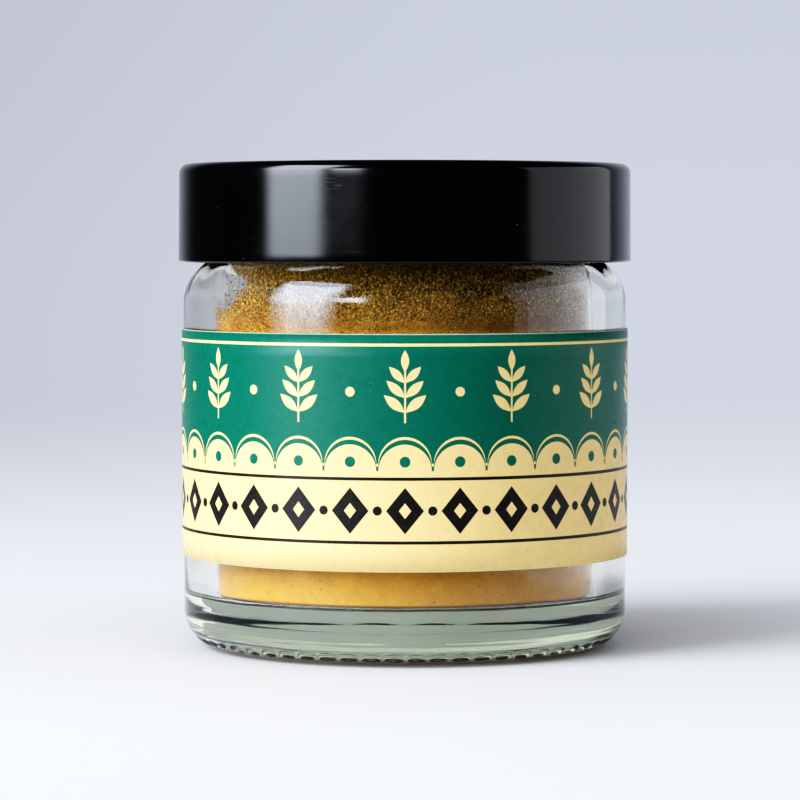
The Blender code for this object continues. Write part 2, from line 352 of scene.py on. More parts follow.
class Surface(Tree):
    """A new material's tree, with its shader, its output and the place on the piece at hand."""

    def __init__(self, name: str) -> None:
        """Makes the material.

        Args:
            name: its name.
        """
        self.material = bpy.data.materials.new(name)
        self.material.use_nodes = True
        super().__init__(self.material.node_tree)
        self.shader = self.tree.nodes["Principled BSDF"]
        self.output = self.tree.nodes["Material Output"]
        self.place = self.add("ShaderNodeTexCoord").outputs["Object"]

    def dress(self, **inputs: Value) -> None:
        """Feeds the Principled shader's inputs, whose names are written with underlines."""
        for name, value in inputs.items():
            self.feed(self.shader.inputs[name.replace("_", " ")], value)

    def bump(self, height: Value, depth: float) -> Socket:
        """A normal from a height between 0 and 1 that stands for a relief of that depth."""
        return self.add("ShaderNodeBump", {"Height": height, "Distance": depth}).outputs[0]

    def open_up(self, share: Value, colour: Value | None = None) -> None:
        """Mixes the Principled shader with a clear one.

        Args:
            share: how much of the clear one there is.
            colour: what the clear one lets through, or None for all light.
        """
        clear = self.add("ShaderNodeBsdfTransparent", {"Color": colour}).outputs[0]
        both = self.add("ShaderNodeMixShader", {0: share, 1: self.shader.outputs[0], 2: clear})
        self.feed(self.output.inputs["Surface"], both.outputs[0])


# Finishes


@dataclass(frozen=True)
class GlassFinish:
    """Clear moulded glass, faintly green where it is thick. Lamps reach what is inside it.

    The heel and the shoulder bend the lamps' light away, so less of it comes straight through there.
    """

    name: str = "clear_glass"
    ior: float = 1.52
    dust_size: float = 0.9 * MM
    dust_amount: float = 0.035
    dust_roughness: float = 0.25
    tint: Colour = (0.333, 0.433, 0.02)
    tint_per_metre: float = 15.0
    shine: Colour = (0.64, 0.69, 0.79)
    lamp_pass: Colour = (0.965, 0.975, 0.965)
    lamp_pass_bent: Colour = (0.72, 0.74, 0.70)
    lamp_pass_foot: Colour = (0.30, 0.26, 0.21)
    foot_z: Point = (0.3 * MM, 1.6 * MM)
    heel_z: Point = (1.0 * MM, 7.5 * MM)
    shoulder_z: Point = (45.0 * MM, 51.0 * MM)
    ripple: float = 0.004 * MM
    ripple_size: float = 3.5 * MM
    # painted shade: the glass tinted dark brown along the bottom of the foot, for the contact shadow that
    # it shows
    foot_painted_shade: Colour = (0.075, 0.050, 0.028)
    foot_painted_shade_z: Point = (1.0 * MM, 0.7 * MM)

    def build(self, effects: SharedEffects) -> bpy.types.Material:
        """The material: refracting for sight, open for light on its way to what is inside.

        Args:
            effects: the shared groups.

        Returns:
            The material.
        """
        tree = Surface(self.name)
        z = tree.split(tree.place)[2]
        dust = tree.group(effects.dust, Vector=tree.place, Size=self.dust_size, Amount=self.dust_amount)
        wave = tree.noise(tree.place, self.ripple_size, detail=1.0)
        tree.dress(
            # the base colour carries the painted shade along the bottom of the foot
            Base_Color=tree.mix(tree.ramp(z, *self.foot_painted_shade_z), WHITE, self.foot_painted_shade),
            Roughness=tree.times(dust["Mask"], self.dust_roughness),
            Normal=tree.bump(wave, self.ripple),
            Specular_Tint=rgba(self.shine),
            Transmission_Weight=1.0,
            IOR=self.ior,
        )
        below_shoulder = tree.ramp(z, *self.shoulder_z, (1.0, 0.0))
        straight = tree.times(tree.ramp(z, *self.heel_z), below_shoulder)
        passed = tree.mix(straight, self.lamp_pass_bent, self.lamp_pass)
        passed = tree.mix(tree.ramp(z, *self.foot_z), self.lamp_pass_foot, passed)
        path = tree.add("ShaderNodeLightPath").outputs
        tree.open_up(tree.math("MAXIMUM", path["Is Shadow Ray"], path["Is Diffuse Ray"]), passed)
        absorb_inputs = {"Color": rgba(self.tint), "Density": self.tint_per_metre}
        absorb = tree.add("ShaderNodeVolumeAbsorption", absorb_inputs).outputs[0]
        tree.feed(tree.output.inputs["Volume"], absorb)
        return tree.material


def bare_patch(tree: Tree, place: Socket) -> Socket:
    """A mask for the left of the shoulder, where the powder has slid off the glass.

    Args:
        tree: the tree to add to.
        place: the place on the piece.

    Returns:
        The mask.
    """
    side_x = (-19.5 * MM, -23.0 * MM)
    foot_z, top_z = (45.0 * MM, 46.6 * MM), (49.8 * MM, 48.8 * MM)
    x, _, z = tree.split(place)
    between = tree.times(tree.ramp(z, *foot_z), tree.ramp(z, *top_z))
    return tree.times(tree.ramp(x, *side_x), between)


@dataclass(frozen=True)
class SpiceFinish:
    """Dry ground root: a warm ochre powder with pale and dark bits, coarse and open at its top."""

    name: str = "ground_spice"
    ochre: Colour = (0.56, 0.250, 0.032)
    pale: Colour = (0.81, 0.410, 0.062)
    gold: Colour = (0.98, 0.82, 0.40)
    dark: Colour = (0.075, 0.034, 0.012)
    roughness: float = 0.9
    gloss: float = 0.25
    grain_size: float = 0.24 * MM
    grain_depth: float = 0.12 * MM
    mottle_size: float = 2.6 * MM
    mottle_edge: Point = (0.35, 0.65)
    mottle: Point = (-0.05, 0.05)
    uneven_range: Point = (-0.25, 0.25)
    coarse_z: Point = (38.0 * MM, 45.0 * MM)
    coarse: Point = (0.45, 1.0)
    speckled: Point = (0.85, 1.0)
    # painted shade at the top of the powder, growing from the left towards the middle and right
    shaded_x: Point = (-32.0 * MM, -2.0 * MM)
    shaded_z: Point = (42.6 * MM, 44.2 * MM)
    shaded: Point = (1.0, 0.56)
    # painted shade on the underside of the powder
    underside_z: Point = (7.7 * MM, 8.1 * MM)
    underside: Point = (0.35, 1.0)
    # painted light: the lower body a little lighter; the same heights fade out the painted side shade
    lower_painted_light_z: Point = (12.0 * MM, 40.0 * MM)
    lower_painted_light: Point = (1.10, 1.0)
    # painted light and shade low down: lighter on the left, darker on the right, fading out higher up
    side_x: Point = (-12.0 * MM, 12.0 * MM)
    side: Point = (1.06, 0.76)
    crumbs_z: Point = (43.2 * MM, 47.0 * MM)
    crumb_sizes: Point = (0.38 * MM, 0.23 * MM)
    crumb_edge: Point = (0.22, 0.62)
    # painted light and shade on the crumbs: lighter middles, darker gaps; the same values raise the bump
    crumb_shade_and_height: Point = (0.72, -0.26)
    crumb_height: float = 0.3
    loose: Colour = (1.0, 1.10, 1.45)
    # painted glints: gold specks put on after the painted shade, so that they stay bright
    glints_z: Point = (44.6 * MM, 47.0 * MM)
    glint_size: float = 0.42 * MM
    glint_amount: float = 0.6
    drift_size: float = 5.0 * MM
    drift: float = 0.9
    film_opens_z: Point = (44.5 * MM, 48.5 * MM)
    film_opens: Point = (1.05, 0.50)
    film_closes_z: Point = (48.4 * MM, 49.9 * MM)
    film_closes: Point = (0.0, 0.58)
    film_grains: Point = (0.36 * MM, 0.21 * MM)
    film_edge: float = 0.07
    film_shade: Point = (0.85, 0.06)
    # painted shade: the film darker near the top, under the lid
    film_lid_shade_z: Point = (47.8 * MM, 50.5 * MM)
    film_lid_shade: Point = (1.0, 0.42)

    def powder(self, tree: Tree, effects: SharedEffects, place: Socket) -> tuple[Socket, Socket]:
        """The mottled powder without its bits, as its colour and its grain's height.

        Args:
            tree: the tree to add to.
            effects: the shared groups.
            place: the place on the piece.

        Returns:
            The colour and the height.
        """
        grain = tree.group(effects.grain, Vector=place, Size=self.grain_size)["Height"]
        mottle = tree.ramp(tree.noise(place, self.mottle_size), *self.mottle_edge, self.mottle)
        uneven = tree.minus(tree.plus(grain, mottle), GRAIN_MIDDLE)
        coarse = tree.ramp(tree.split(place)[2], *self.coarse_z, self.coarse)
        lightness = tree.ramp(tree.times(uneven, coarse), *self.uneven_range)
        return tree.mix(lightness, self.ochre, self.pale), grain

    def with_bits(
        self, tree: Tree, effects: SharedEffects, place: Socket, own: Value, base: Socket
    ) -> Socket:
        """The powder's colour with each bit's own shade and with pale and dark specks.

        Args:
            tree: the tree to add to.
            effects: the shared groups.
            place: the place on the piece.
            own: each bit's own shade, from 0 to 1.
            base: the powder's colour.

        Returns:
            The colour.
        """
        # the gold bits are pale bits of root that also serve as painted glints
        shade_low_high_most = (
            (self.pale, 0.62, 0.88, 0.7),
            (self.gold, 0.92, 0.96, 1.0),
            (self.dark, 0.24, 0.06, 0.6),
        )
        for bit, low, high, most in shade_low_high_most:
            base = tree.mix(tree.ramp(own, low, high, (0.0, most)), base, bit)
        shade_size_amount_share = (
            (self.dark, 0.26 * MM, 0.34, 0.8),
            (self.dark, 0.19 * MM, 0.34, 0.8),
            (self.gold, 0.20 * MM, 0.16, 1.0),
            (self.dark, 0.70 * MM, 0.22, 0.75),
            (self.dark, 3.00 * MM, 0.04, 0.40),
        )
        speckled = tree.ramp(tree.split(place)[2], *self.coarse_z, self.speckled)
        for bit, size, amount, share in shade_size_amount_share:
            aside = tree.vector("ADD", place, (size * 3, size * 7, 0.0))
            specks = tree.group(effects.dust, Vector=aside, Size=size, Amount=amount)["Mask"]
            factor = tree.times(tree.times(specks, share), speckled)
            base = tree.mix(factor, base, bit)
        return base

    def lit(self, tree: Tree, place: Socket, base: Socket) -> Socket:
        """The colour with painted shade at the top, to the right below and underneath, and painted light
        below.

        Args:
            tree: the tree to add to.
            place: the place on the piece.
            base: the colour before.

        Returns:
            The colour.
        """
        x, _, z = tree.split(place)
        # painted shade over the top of the powder, growing from the left towards the middle and right
        away = tree.times(tree.ramp(x, *self.shaded_x), tree.ramp(z, *self.shaded_z))
        # painted light and shade low down: lighter on the left, darker on the right
        side = tree.minus(tree.ramp(x, *self.side_x, self.side), 1.0)
        for shade in (
            tree.ramp(away, 0.0, 1.0, self.shaded),
            tree.math("MULTIPLY_ADD", side, tree.ramp(z, *self.lower_painted_light_z, (1.0, 0.0)), 1.0),
            # painted shade on the underside
            tree.ramp(z, *self.underside_z, self.underside),
            # painted light: a little lighter low down
            tree.ramp(z, *self.lower_painted_light_z, self.lower_painted_light),
        ):
            base = tree.scaled(base, shade)
        return base

    def coloured(
        self, tree: Tree, effects: SharedEffects, place: Socket, own: Value
    ) -> tuple[Socket, Socket]:
        """The powder's colour and its grain, with painted shade between the crumbs at its open top and
        painted glints.

        Args:
            tree: the tree to add to.
            effects: the shared groups.
            place: the place on the piece.
            own: each bit's own shade, from dark at 0 to gold at 1, with 0.5 for the powder itself.

        Returns:
            The colour and the grain's height.
        """
        base, grain = self.powder(tree, effects, place)
        base = self.with_bits(tree, effects, place, own, base)
        base = self.lit(tree, place, base)
        z = tree.split(place)[2]
        crumbly = tree.ramp(z, *self.crumbs_z)
        base = tree.mix(crumbly, base, tree.vector("MULTIPLY", base, self.loose))
        # painted light and shade: crumb middles lighter and the gaps between them darker, and the same
        # relief raises the grain
        for size in self.crumb_sizes:
            relief = tree.ramp(tree.cells(place, size)["Distance"], *self.crumb_edge, self.crumb_shade_and_height)
            lightness = tree.math("MULTIPLY_ADD", relief, crumbly, 1.0)
            base = tree.scaled(base, lightness)
            grain = tree.math("MULTIPLY_ADD", lightness, self.crumb_height, grain)
        # painted glints: gold specks laid over the painted shade
        inputs = {"Vector": place, "Size": self.glint_size, "Amount": self.glint_amount}
        glints = tree.group(effects.dust, **inputs)["Mask"]
        base = tree.mix(tree.times(glints, tree.ramp(z, *self.glints_z)), base, self.gold)
        return base, grain

    def build(self, effects: SharedEffects) -> bpy.types.Material:
        """The material, with the colour of each bit and the grain of the powder.

        Args:
            effects: the shared groups.

        Returns:
            The material.
        """
        tree = Surface(self.name)
        own = tree.add("ShaderNodeAttribute", attribute_name=SHADE).outputs["Fac"]
        base, grain = self.coloured(tree, effects, tree.place, own)
        tree.dress(
            Base_Color=base,
            Normal=tree.bump(grain, self.grain_depth),
            Roughness=self.roughness,
            Specular_IOR_Level=self.gloss,
        )
        return tree.material

    def build_film(self, effects: SharedEffects) -> bpy.types.Material:
        """The same powder as a dusty film on the glass, which opens into grains and darkens with painted
        shade the higher it is.

        Args:
            effects: the shared groups.

        Returns:
            The material.
        """
        tree = Surface("spice_dust")
        z = tree.split(tree.place)[2]
        drift = tree.minus(tree.noise(tree.place, self.drift_size, detail=3.0), 0.5)
        opening = tree.ramp(z, *self.film_opens_z, self.film_opens)
        opening = tree.plus(opening, tree.ramp(z, *self.film_closes_z, self.film_closes))
        reach = tree.math("MULTIPLY_ADD", drift, self.drift, opening)
        reach = tree.minus(reach, bare_patch(tree, tree.place))
        cover, shades = [], []
        for size in self.film_grains:
            cells = tree.cells(tree.place, size)
            cover.append(tree.ramp(cells["Distance"], reach, tree.minus(reach, self.film_edge)))
            shades.append(tree.even(tree.split(cells["Color"])[0]))
        own = tree.split(tree.mix(cover[0], *shades[::-1]))[0]
        own = tree.math("MULTIPLY_ADD", own, *self.film_shade)
        base, grain = self.coloured(tree, effects, tree.place, own)
        tree.dress(
            # painted shade under the lid: the film darker the higher it is
            Base_Color=tree.scaled(base, tree.ramp(z, *self.film_lid_shade_z, self.film_lid_shade)),
            Normal=tree.bump(grain, 2 * self.grain_depth),
            Alpha=tree.math("MAXIMUM", *cover),
            Roughness=self.roughness,
            Specular_IOR_Level=self.gloss,
        )
        return tree.material


@dataclass(frozen=True)
class PlasticFinish:
    """Glossy black moulded plastic with light scuffs and dust."""

    name: str = "black_plastic"
    ior: float = 1.5
    colour: Colour = (0.0012, 0.0012, 0.0014)
    roughness: float = 0.12
    scuffed: float = 0.12
    scuff_width: float = 0.05 * MM
    dust_colour: Colour = (0.30, 0.29, 0.28)
    dust_size: float = 0.6 * MM
    dust_amount: float = 0.02
    dust_cover: float = 0.35
    dust_roughness: float = 0.5
    haze_size: float = 9 * MM
    haze_edge: Point = (0.35, 0.7)
    haze: Point = (0.0, 0.05)
    relief_size: float = 1.6 * MM
    relief: float = 0.0015 * MM
    radius: float = 30 * MM

    def build(self, effects: SharedEffects) -> bpy.types.Material:
        """The material, whose scuffs run round the lid.

        Args:
            effects: the shared groups.

        Returns:
            The material.
        """
        tree = Surface(self.name)
        x, y, z = tree.split(tree.place)
        angle = tree.math("ARCTAN2", y, x)
        inwards = tree.minus(z, tree.reach(x, y))
        around = tree.join(tree.times(angle, self.radius), inwards, 0.0)
        scuffs = tree.group(effects.scuffs, Vector=around, Width=self.scuff_width, Amount=1.0)["Mask"]
        inputs = {"Vector": tree.place, "Size": self.dust_size, "Amount": self.dust_amount}
        dust = tree.group(effects.dust, **inputs)["Mask"]
        haze = tree.ramp(tree.noise(tree.place, self.haze_size, detail=4.0), *self.haze_edge, self.haze)
        rough = tree.math("MULTIPLY_ADD", scuffs, self.scuffed, tree.plus(haze, self.roughness))
        tree.dress(
            Base_Color=tree.mix(tree.times(dust, self.dust_cover), self.colour, self.dust_colour),
            Roughness=tree.math("MULTIPLY_ADD", dust, self.dust_roughness, rough, clamp=True),
            Normal=tree.bump(tree.noise(tree.place, self.relief_size, detail=1.0), self.relief),
            IOR=self.ior,
        )
        return tree.material


@dataclass(frozen=True)
class FoamFinish:
    """The liner's soft white foam, dusted by the spice under it."""

    name: str = "liner_foam"
    colour: Colour = (0.78, 0.77, 0.73)
    dusted: Colour = (0.40, 0.20, 0.045)
    roughness: float = 0.7
    cell_size: float = 0.25 * MM
    cell_depth: float = 0.05 * MM
    cell_contrast: float = 0.12
    dusting_size: float = 5 * MM
    dusting_edge: Point = (0.25, 0.60)
    dusting: Point = (0.45, 0.97)

    def build(self, effects: SharedEffects) -> bpy.types.Material:
        """The material, with the foam's fine cells and its dusting.

        Args:
            effects: the shared groups.

        Returns:
            The material.
        """
        tree = Surface(self.name)
        inputs = {"Vector": tree.place, "Size": self.cell_size, "Contrast": self.cell_contrast}
        cells = tree.group(effects.grain, **inputs)
        patches = tree.noise(tree.place, self.dusting_size, detail=5.0)
        dusting = tree.ramp(patches, *self.dusting_edge, self.dusting)
        foam = tree.mix(dusting, self.colour, self.dusted)
        normal = tree.bump(cells["Height"], self.cell_depth)
        tree.dress(Base_Color=tree.shaded(foam, cells["Shade"]), Normal=normal, Roughness=self.roughness)
        return tree.material


@dataclass(frozen=True)
class PlainPaperFinish:
    """The label's unprinted back and cut edges."""

    name: str = "plain_paper"
    colour: Colour = (0.80, 0.78, 0.68)
    roughness: float = 0.75
    fibre_size: float = 0.2 * MM
    fibre_depth: float = 0.03 * MM
    fibre_contrast: float = 0.15

    def build(self, effects: SharedEffects) -> bpy.types.Material:
        """The material, with the paper's fibres.

        Args:
            effects: the shared groups.

        Returns:
            The material.
        """
        tree = Surface(self.name)
        inputs = {"Vector": tree.place, "Size": self.fibre_size, "Contrast": self.fibre_contrast}
        fibres = tree.group(effects.grain, **inputs)
        tree.dress(
            Base_Color=tree.shaded(self.colour, fibres["Shade"]),
            Normal=tree.bump(fibres["Height"], self.fibre_depth),
            Roughness=self.roughness,
        )
        return tree.material


@dataclass(frozen=True)
class PrintedPaperFinish:
    """The label's printed face: scallops, sprigs and lozenges in green, pale yellow and black.

    Lengths are in millimetres on the flat label, from its lower left corner.
    """

    length: float
    height: float
    name: str = "label_paper"
    green: Colour = (0.003, 0.128, 0.084)
    yellow: Colour = (0.90, 0.64, 0.268)
    black: Colour = (0.016, 0.015, 0.014)
    # the colour of the pale line along the top and bottom edges
    bare: Colour = (0.72, 0.76, 0.62)
    roughness: float = 0.30
    roughness_spread: Point = (-0.06, 0.08)
    gloss: float = 0.25
    tooth_size: float = 0.16 * MM
    tooth_depth: float = 0.02 * MM
    tooth_contrast: float = 0.22
    fleck_size: float = 0.5 * MM
    fleck_amount: float = 0.10
    fleck_cover: float = 0.10
    repeats: int = 26
    scallop_v: float = 13.0
    scallop_share: float = 0.96
    scallop_line: Point = (0.8, 0.17)
    scallop_dot: Point = (14.2, 0.7)
    lozenge_v: float = 7.9
    lozenge_half: Point = (2.45, 3.0)
    lozenge_eye_half: Point = (0.8, 1.0)
    lozenge_dot_radius: float = 0.6
    rules_below: tuple[Point, ...] = ((12.0, 0.42), (3.8, 0.42))
    rule_above: Point = (29.2, 0.36)
    sprig_foot_v: float = 19.2
    sprig_dot: Point = (23.2, 0.62)
    stem_half_width: float = 0.12
    leaf_pairs: int = 3
    first_pair_up: float = 1.3
    pair_step: float = 1.9
    pair_lean_deg: float = 50.0
    pair_lean_step_deg: float = 3.0
    pair_leaf: Point = (3.6, 0.66)
    pair_leaf_step: Point = (0.3, 0.05)
    top_leaf: Point = (2.9, 0.55)
    top_leaf_down: float = 0.5
    leaf_inset: float = 0.03
    edge_softness: float = 0.035
    pale_band_width: float = 0.11
    pale_band_share: float = 0.55

    @property
    def period(self) -> float:
        """The width of one scallop, which divides the label's length evenly."""
        return self.length / self.repeats

    def inside(self, tree: Tree, distance: Value) -> Socket:
        """A mask that is 1 where a distance in millimetres is below 0, with a print's soft edge."""
        return tree.ramp(distance, self.edge_softness, -self.edge_softness)

    def repeated(self, tree: Tree, u: Socket, period: float, shift: float = 0.0) -> Socket:
        """How far u is from the middle of its repeat, in millimetres."""
        moved = tree.plus(u, shift + period / 2)
        return tree.minus(tree.math("FLOORED_MODULO", moved, period), period / 2)

    def scallops(self, tree: Tree, u: Socket, v: Socket) -> Socket:
        """How far v is above the row of round scallops.

        Args:
            tree: the tree to add to.
            u: the place along the label.
            v: the place up the label.

        Returns:
            The distance, in millimetres.
        """
        across = self.repeated(tree, u, self.period)
        radius = self.period / 2 * self.scallop_share
        inner = tree.minus(radius**2, tree.times(across, across))
        arch = tree.math("SQRT", tree.math("MAXIMUM", inner, 0.0))
        return tree.minus(v, tree.plus(arch, self.scallop_v))

    def rule(self, tree: Tree, place: Socket, middle: float, width: float) -> Socket:
        """A mask for a line where the place is near a middle."""
        off = tree.math("ABSOLUTE", tree.minus(place, middle))
        return self.inside(tree, tree.minus(off, width / 2))

    def dots(
        self, tree: Tree, u: Socket, v: Socket, place: Point, period: float, radius: float
    ) -> Socket:
        """A mask for a row of round dots.

        Args:
            tree: the tree to add to.
            u: the place along the label.
            v: the place up the label.
            place: how far the row is shifted along, and its height.
            period: how far the dots are apart.
            radius: a dot's radius.

        Returns:
            The mask.
        """
        across = self.repeated(tree, u, period, place[0])
        up = tree.minus(v, place[1])
        return self.inside(tree, tree.minus(tree.reach(across, up), radius))

    def lozenges(self, tree: Tree, u: Socket, v: Socket, half: Point) -> Socket:
        """A mask for the row of lozenges, of half width half[0] and half height half[1].

        Args:
            tree: the tree to add to.
            u: the place along the label.
            v: the place up the label.
            half: its half width and half height.

        Returns:
            The mask.
        """
        across = tree.math("ABSOLUTE", self.repeated(tree, u, self.period))
        up = tree.math("ABSOLUTE", tree.minus(v, self.lozenge_v))
        share = tree.plus(tree.math("DIVIDE", across, half[0]), tree.math("DIVIDE", up, half[1]))
        distance_per_share = half[0] * 0.7
        return self.inside(tree, tree.times(tree.minus(share, 1.0), distance_per_share))

    def leaf(self, tree: Tree, across: Socket, up: Socket, lean_deg: float, size: Point) -> Socket:
        """A mask for one slender pointed leaf, which grows from the repeat's middle.

        Args:
            tree: the tree to add to.
            across: the place across the repeat.
            up: the height over the leaf's root.
            lean_deg: how far the leaf leans from upright.
            size: its length and its half width.

        Returns:
            The mask.
        """
        length, half_width = size
        sine, cosine = math.sin(math.radians(lean_deg)), math.cos(math.radians(lean_deg))
        along = tree.plus(tree.times(across, sine), tree.times(up, cosine))
        side = tree.minus(tree.times(across, cosine), tree.times(up, sine))
        share = tree.math("DIVIDE", along, length, clamp=True)
        width = tree.times(tree.math("SINE", tree.times(share, math.pi)), half_width)
        off = tree.plus(tree.math("ABSOLUTE", side), self.leaf_inset)
        return self.inside(tree, tree.minus(off, width))

    def sprigs(self, tree: Tree, u: Socket, v: Socket) -> Socket:
        """A mask for the row of sprigs in the green, each a stem with leaves in pairs and one on top.

        Args:
            tree: the tree to add to.
            u: the place along the label.
            v: the place up the label.

        Returns:
            The mask.
        """
        across = self.repeated(tree, u, 2 * self.period, self.period)
        up = tree.minus(v, self.sprig_foot_v)
        stem_height = self.first_pair_up + self.pair_step * self.leaf_pairs
        below_foot = tree.times(up, -1.0)
        past_ends = tree.math("MAXIMUM", below_foot, tree.minus(up, stem_height))
        beside = tree.minus(tree.math("ABSOLUTE", across), self.stem_half_width)
        mask = self.inside(tree, tree.math("MAXIMUM", beside, past_ends))
        leaves = [(stem_height - self.top_leaf_down, 0.0, self.top_leaf)]
        for pair in range(self.leaf_pairs):
            size = tuple(full - step * pair for full, step in zip(self.pair_leaf, self.pair_leaf_step))
            root = self.first_pair_up + self.pair_step * pair
            lean = self.pair_lean_deg - self.pair_lean_step_deg * pair
            leaves += [(root, -lean, size), (root, lean, size)]
        for root, lean, size in leaves:
            blade = self.leaf(tree, across, tree.minus(up, root), lean, size)
            mask = tree.math("MAXIMUM", mask, blade)
        return mask

    def ink(self, tree: Tree, u: Socket, v: Socket) -> Socket:
        """The printed colour at a place on the label.

        Args:
            tree: the tree to add to.
            u: the place along the label.
            v: the place up the label.

        Returns:
            The colour.
        """
        above = self.scallops(tree, u, v)
        line_up, line_half_width = self.scallop_line
        between = (self.period / 2, self.lozenge_v)
        sprig_dots = self.dots(tree, u, v, (0.0, self.sprig_dot[0]), 2 * self.period, self.sprig_dot[1])
        scallop_dots = self.dots(tree, u, v, (0.0, self.scallop_dot[0]), self.period, self.scallop_dot[1])
        inks = [
            (self.rule(tree, above, line_up, 2 * line_half_width), self.yellow),
            (self.sprigs(tree, u, v), self.yellow),
            (sprig_dots, self.yellow),
            (self.rule(tree, v, *self.rule_above), self.yellow),
            (self.lozenges(tree, u, v, self.lozenge_half), self.black),
            (self.dots(tree, u, v, between, self.period, self.lozenge_dot_radius), self.black),
            *((self.rule(tree, v, *rule), self.black) for rule in self.rules_below),
            (self.lozenges(tree, u, v, self.lozenge_eye_half), self.yellow),
            (scallop_dots, self.green),
        ]
        colour = tree.mix(self.inside(tree, above), self.green, self.yellow)
        for mask, ink in inks:
            colour = tree.mix(mask, colour, ink)
        return colour

    def build(self, effects: SharedEffects) -> bpy.types.Material:
        """The material: the print, the paper's tooth under it, a pale line along its top and bottom edges
        and its satin varnish.

        Args:
            effects: the shared groups.

        Returns:
            The material.
        """
        tree = Surface(self.name)
        flat = tree.add("ShaderNodeUVMap", uv_map="label").outputs[0]
        u, v = (tree.times(*pair) for pair in zip(tree.split(flat), (self.length, self.height)))
        inputs = {"Vector": tree.place, "Size": self.tooth_size, "Contrast": self.tooth_contrast}
        tooth = tree.group(effects.grain, **inputs)
        ink = tree.shaded(self.ink(tree, u, v), tooth["Shade"])
        inputs = {"Vector": tree.place, "Size": self.fleck_size, "Amount": self.fleck_amount}
        flecks = tree.group(effects.dust, **inputs)["Mask"]
        ink = tree.mix(tree.times(flecks, self.fleck_cover), ink, self.yellow)
        # a pale line along the top and bottom edges
        from_edge = tree.math("MINIMUM", v, tree.minus(self.height, v))
        cut = self.inside(tree, tree.minus(from_edge, self.pale_band_width))
        spread = tuple(self.roughness + more for more in self.roughness_spread)
        tree.dress(
            Base_Color=tree.mix(tree.times(cut, self.pale_band_share), ink, self.bare),
            Roughness=tree.ramp(tooth["Height"], 0.5, 1.0, spread),
            Normal=tree.bump(tooth["Height"], self.tooth_depth),
            Specular_IOR_Level=self.gloss,
        )
        return tree.material


# Outlines of the turned pieces


@dataclass
class Outline:
    """An outline (radius, height) from the axis to the axis, with marks for what is laid on it.

    A point's marks are shares from 0 to 1 that the turning reads: thread, knurl and ripple.
    """

    points: list[Point] = field(default_factory=list)
    marks: list[dict[str, float]] = field(default_factory=list)

    def add(self, points: list[Point], **marks: float) -> "Outline":
        """Adds points, all with the same marks, and leaves out one that repeats the last.

        Args:
            points: the points.
            marks: their marks, by name.

        Returns:
            The outline itself.
        """
        for point in points:
            if not self.points or math.dist(point, self.points[-1]) > WELD:
                self.points.append(point)
                self.marks.append(dict(marks))
        return self

    def line_to(self, point: Point, step: float, **marks: float) -> "Outline":
        """Adds a straight run from the last point, with points about a step apart.

        Args:
            point: where the run ends.
            step: how far its points are apart.
            marks: their marks, by name.

        Returns:
            The outline itself.
        """
        start_r, start_z = self.points[-1]
        across, up = point[0] - start_r, point[1] - start_z
        count = max(1, round(math.hypot(across, up) / step))
        run = [(start_r + across * i / count, start_z + up * i / count) for i in range(1, count + 1)]
        return self.add(run, **marks)

    def mesh(self, name: str) -> bpy.types.Mesh:
        """The outline as an edge mesh in the XZ plane, with the marks as point attributes.

        Args:
            name: the mesh's name.

        Returns:
            The mesh.
        """
        mesh = bpy.data.meshes.new(name)
        edges = [(i, i + 1) for i in range(len(self.points) - 1)]
        mesh.from_pydata([(r, 0.0, z) for r, z in self.points], edges, [])
        for mark in MARKS:
            attribute = mesh.attributes.new(mark, "FLOAT", "POINT")
            attribute.data.foreach_set("value", [marks.get(mark, 0.0) for marks in self.marks])
        return mesh


def arc(centre: Point, radius: float, start_deg: float, end_deg: float, steps: int) -> list[Point]:
    """Points (radius, height) along an arc, both ends included.

    Args:
        centre: its centre.
        radius: its radius.
        start_deg: the angle it starts at.
        end_deg: the angle it ends at.
        steps: how many steps it has.

    Returns:
        The points.
    """
    points = []
    for i in range(steps + 1):
        angle = math.radians(start_deg + (end_deg - start_deg) * i / max(1, steps))
        points.append((centre[0] + radius * math.cos(angle), centre[1] + radius * math.sin(angle)))
    return points


# Geometry node trees


def thread_height(tree: Tree, given: dict[str, Socket], turn: Socket, z: Socket) -> Socket:
    """The height of a helical bead at a place on a turned wall, from 0 to 1.

    Args:
        tree: the tree to add to.
        given: the tree's inputs by name.
        turn: the place round the axis, from 0 to 1.
        z: the height.

    Returns:
        The bead's height as a share of its full height.
    """
    bead = None
    for whole_turns in (0, 1):
        place = tree.plus(turn, float(whole_turns))
        past = tree.minus(place, given["First Turn"])
        left = tree.minus(given["Last Turn"], place)
        middle = tree.math("MULTIPLY_ADD", past, given["Pitch"], given["Thread Start"])
        off = tree.math("DIVIDE", tree.minus(z, middle), given["Thread Half Width"])
        under_top = tree.minus(1.0, tree.times(off, off))
        round_top = tree.math("SQRT", tree.math("MAXIMUM", under_top, 0.0))
        fades = (tree.ramp(to_end, 0.0, given["Thread Fade"]) for to_end in (past, left))
        part = tree.times(round_top, tree.times(*fades))
        bead = part if bead is None else tree.math("MAXIMUM", bead, part)
    return bead


def end_group(tree: Tree, end: bpy.types.Node, mesh: Socket, finish: Socket) -> bpy.types.NodeTree:
    """Ends a geometry group: its mesh is made real and given its finish.

    Args:
        tree: the tree to end.
        end: its output node.
        mesh: what it has made.
        finish: the material.

    Returns:
        The finished tree.
    """
    mesh = tree.add("GeometryNodeRealizeInstances", {"Geometry": mesh}).outputs[0]
    mesh = tree.add("GeometryNodeSetMaterial", {"Geometry": mesh, "Material": finish}).outputs[0]
    tree.feed(end.inputs["Geometry"], mesh)
    return tree.tree


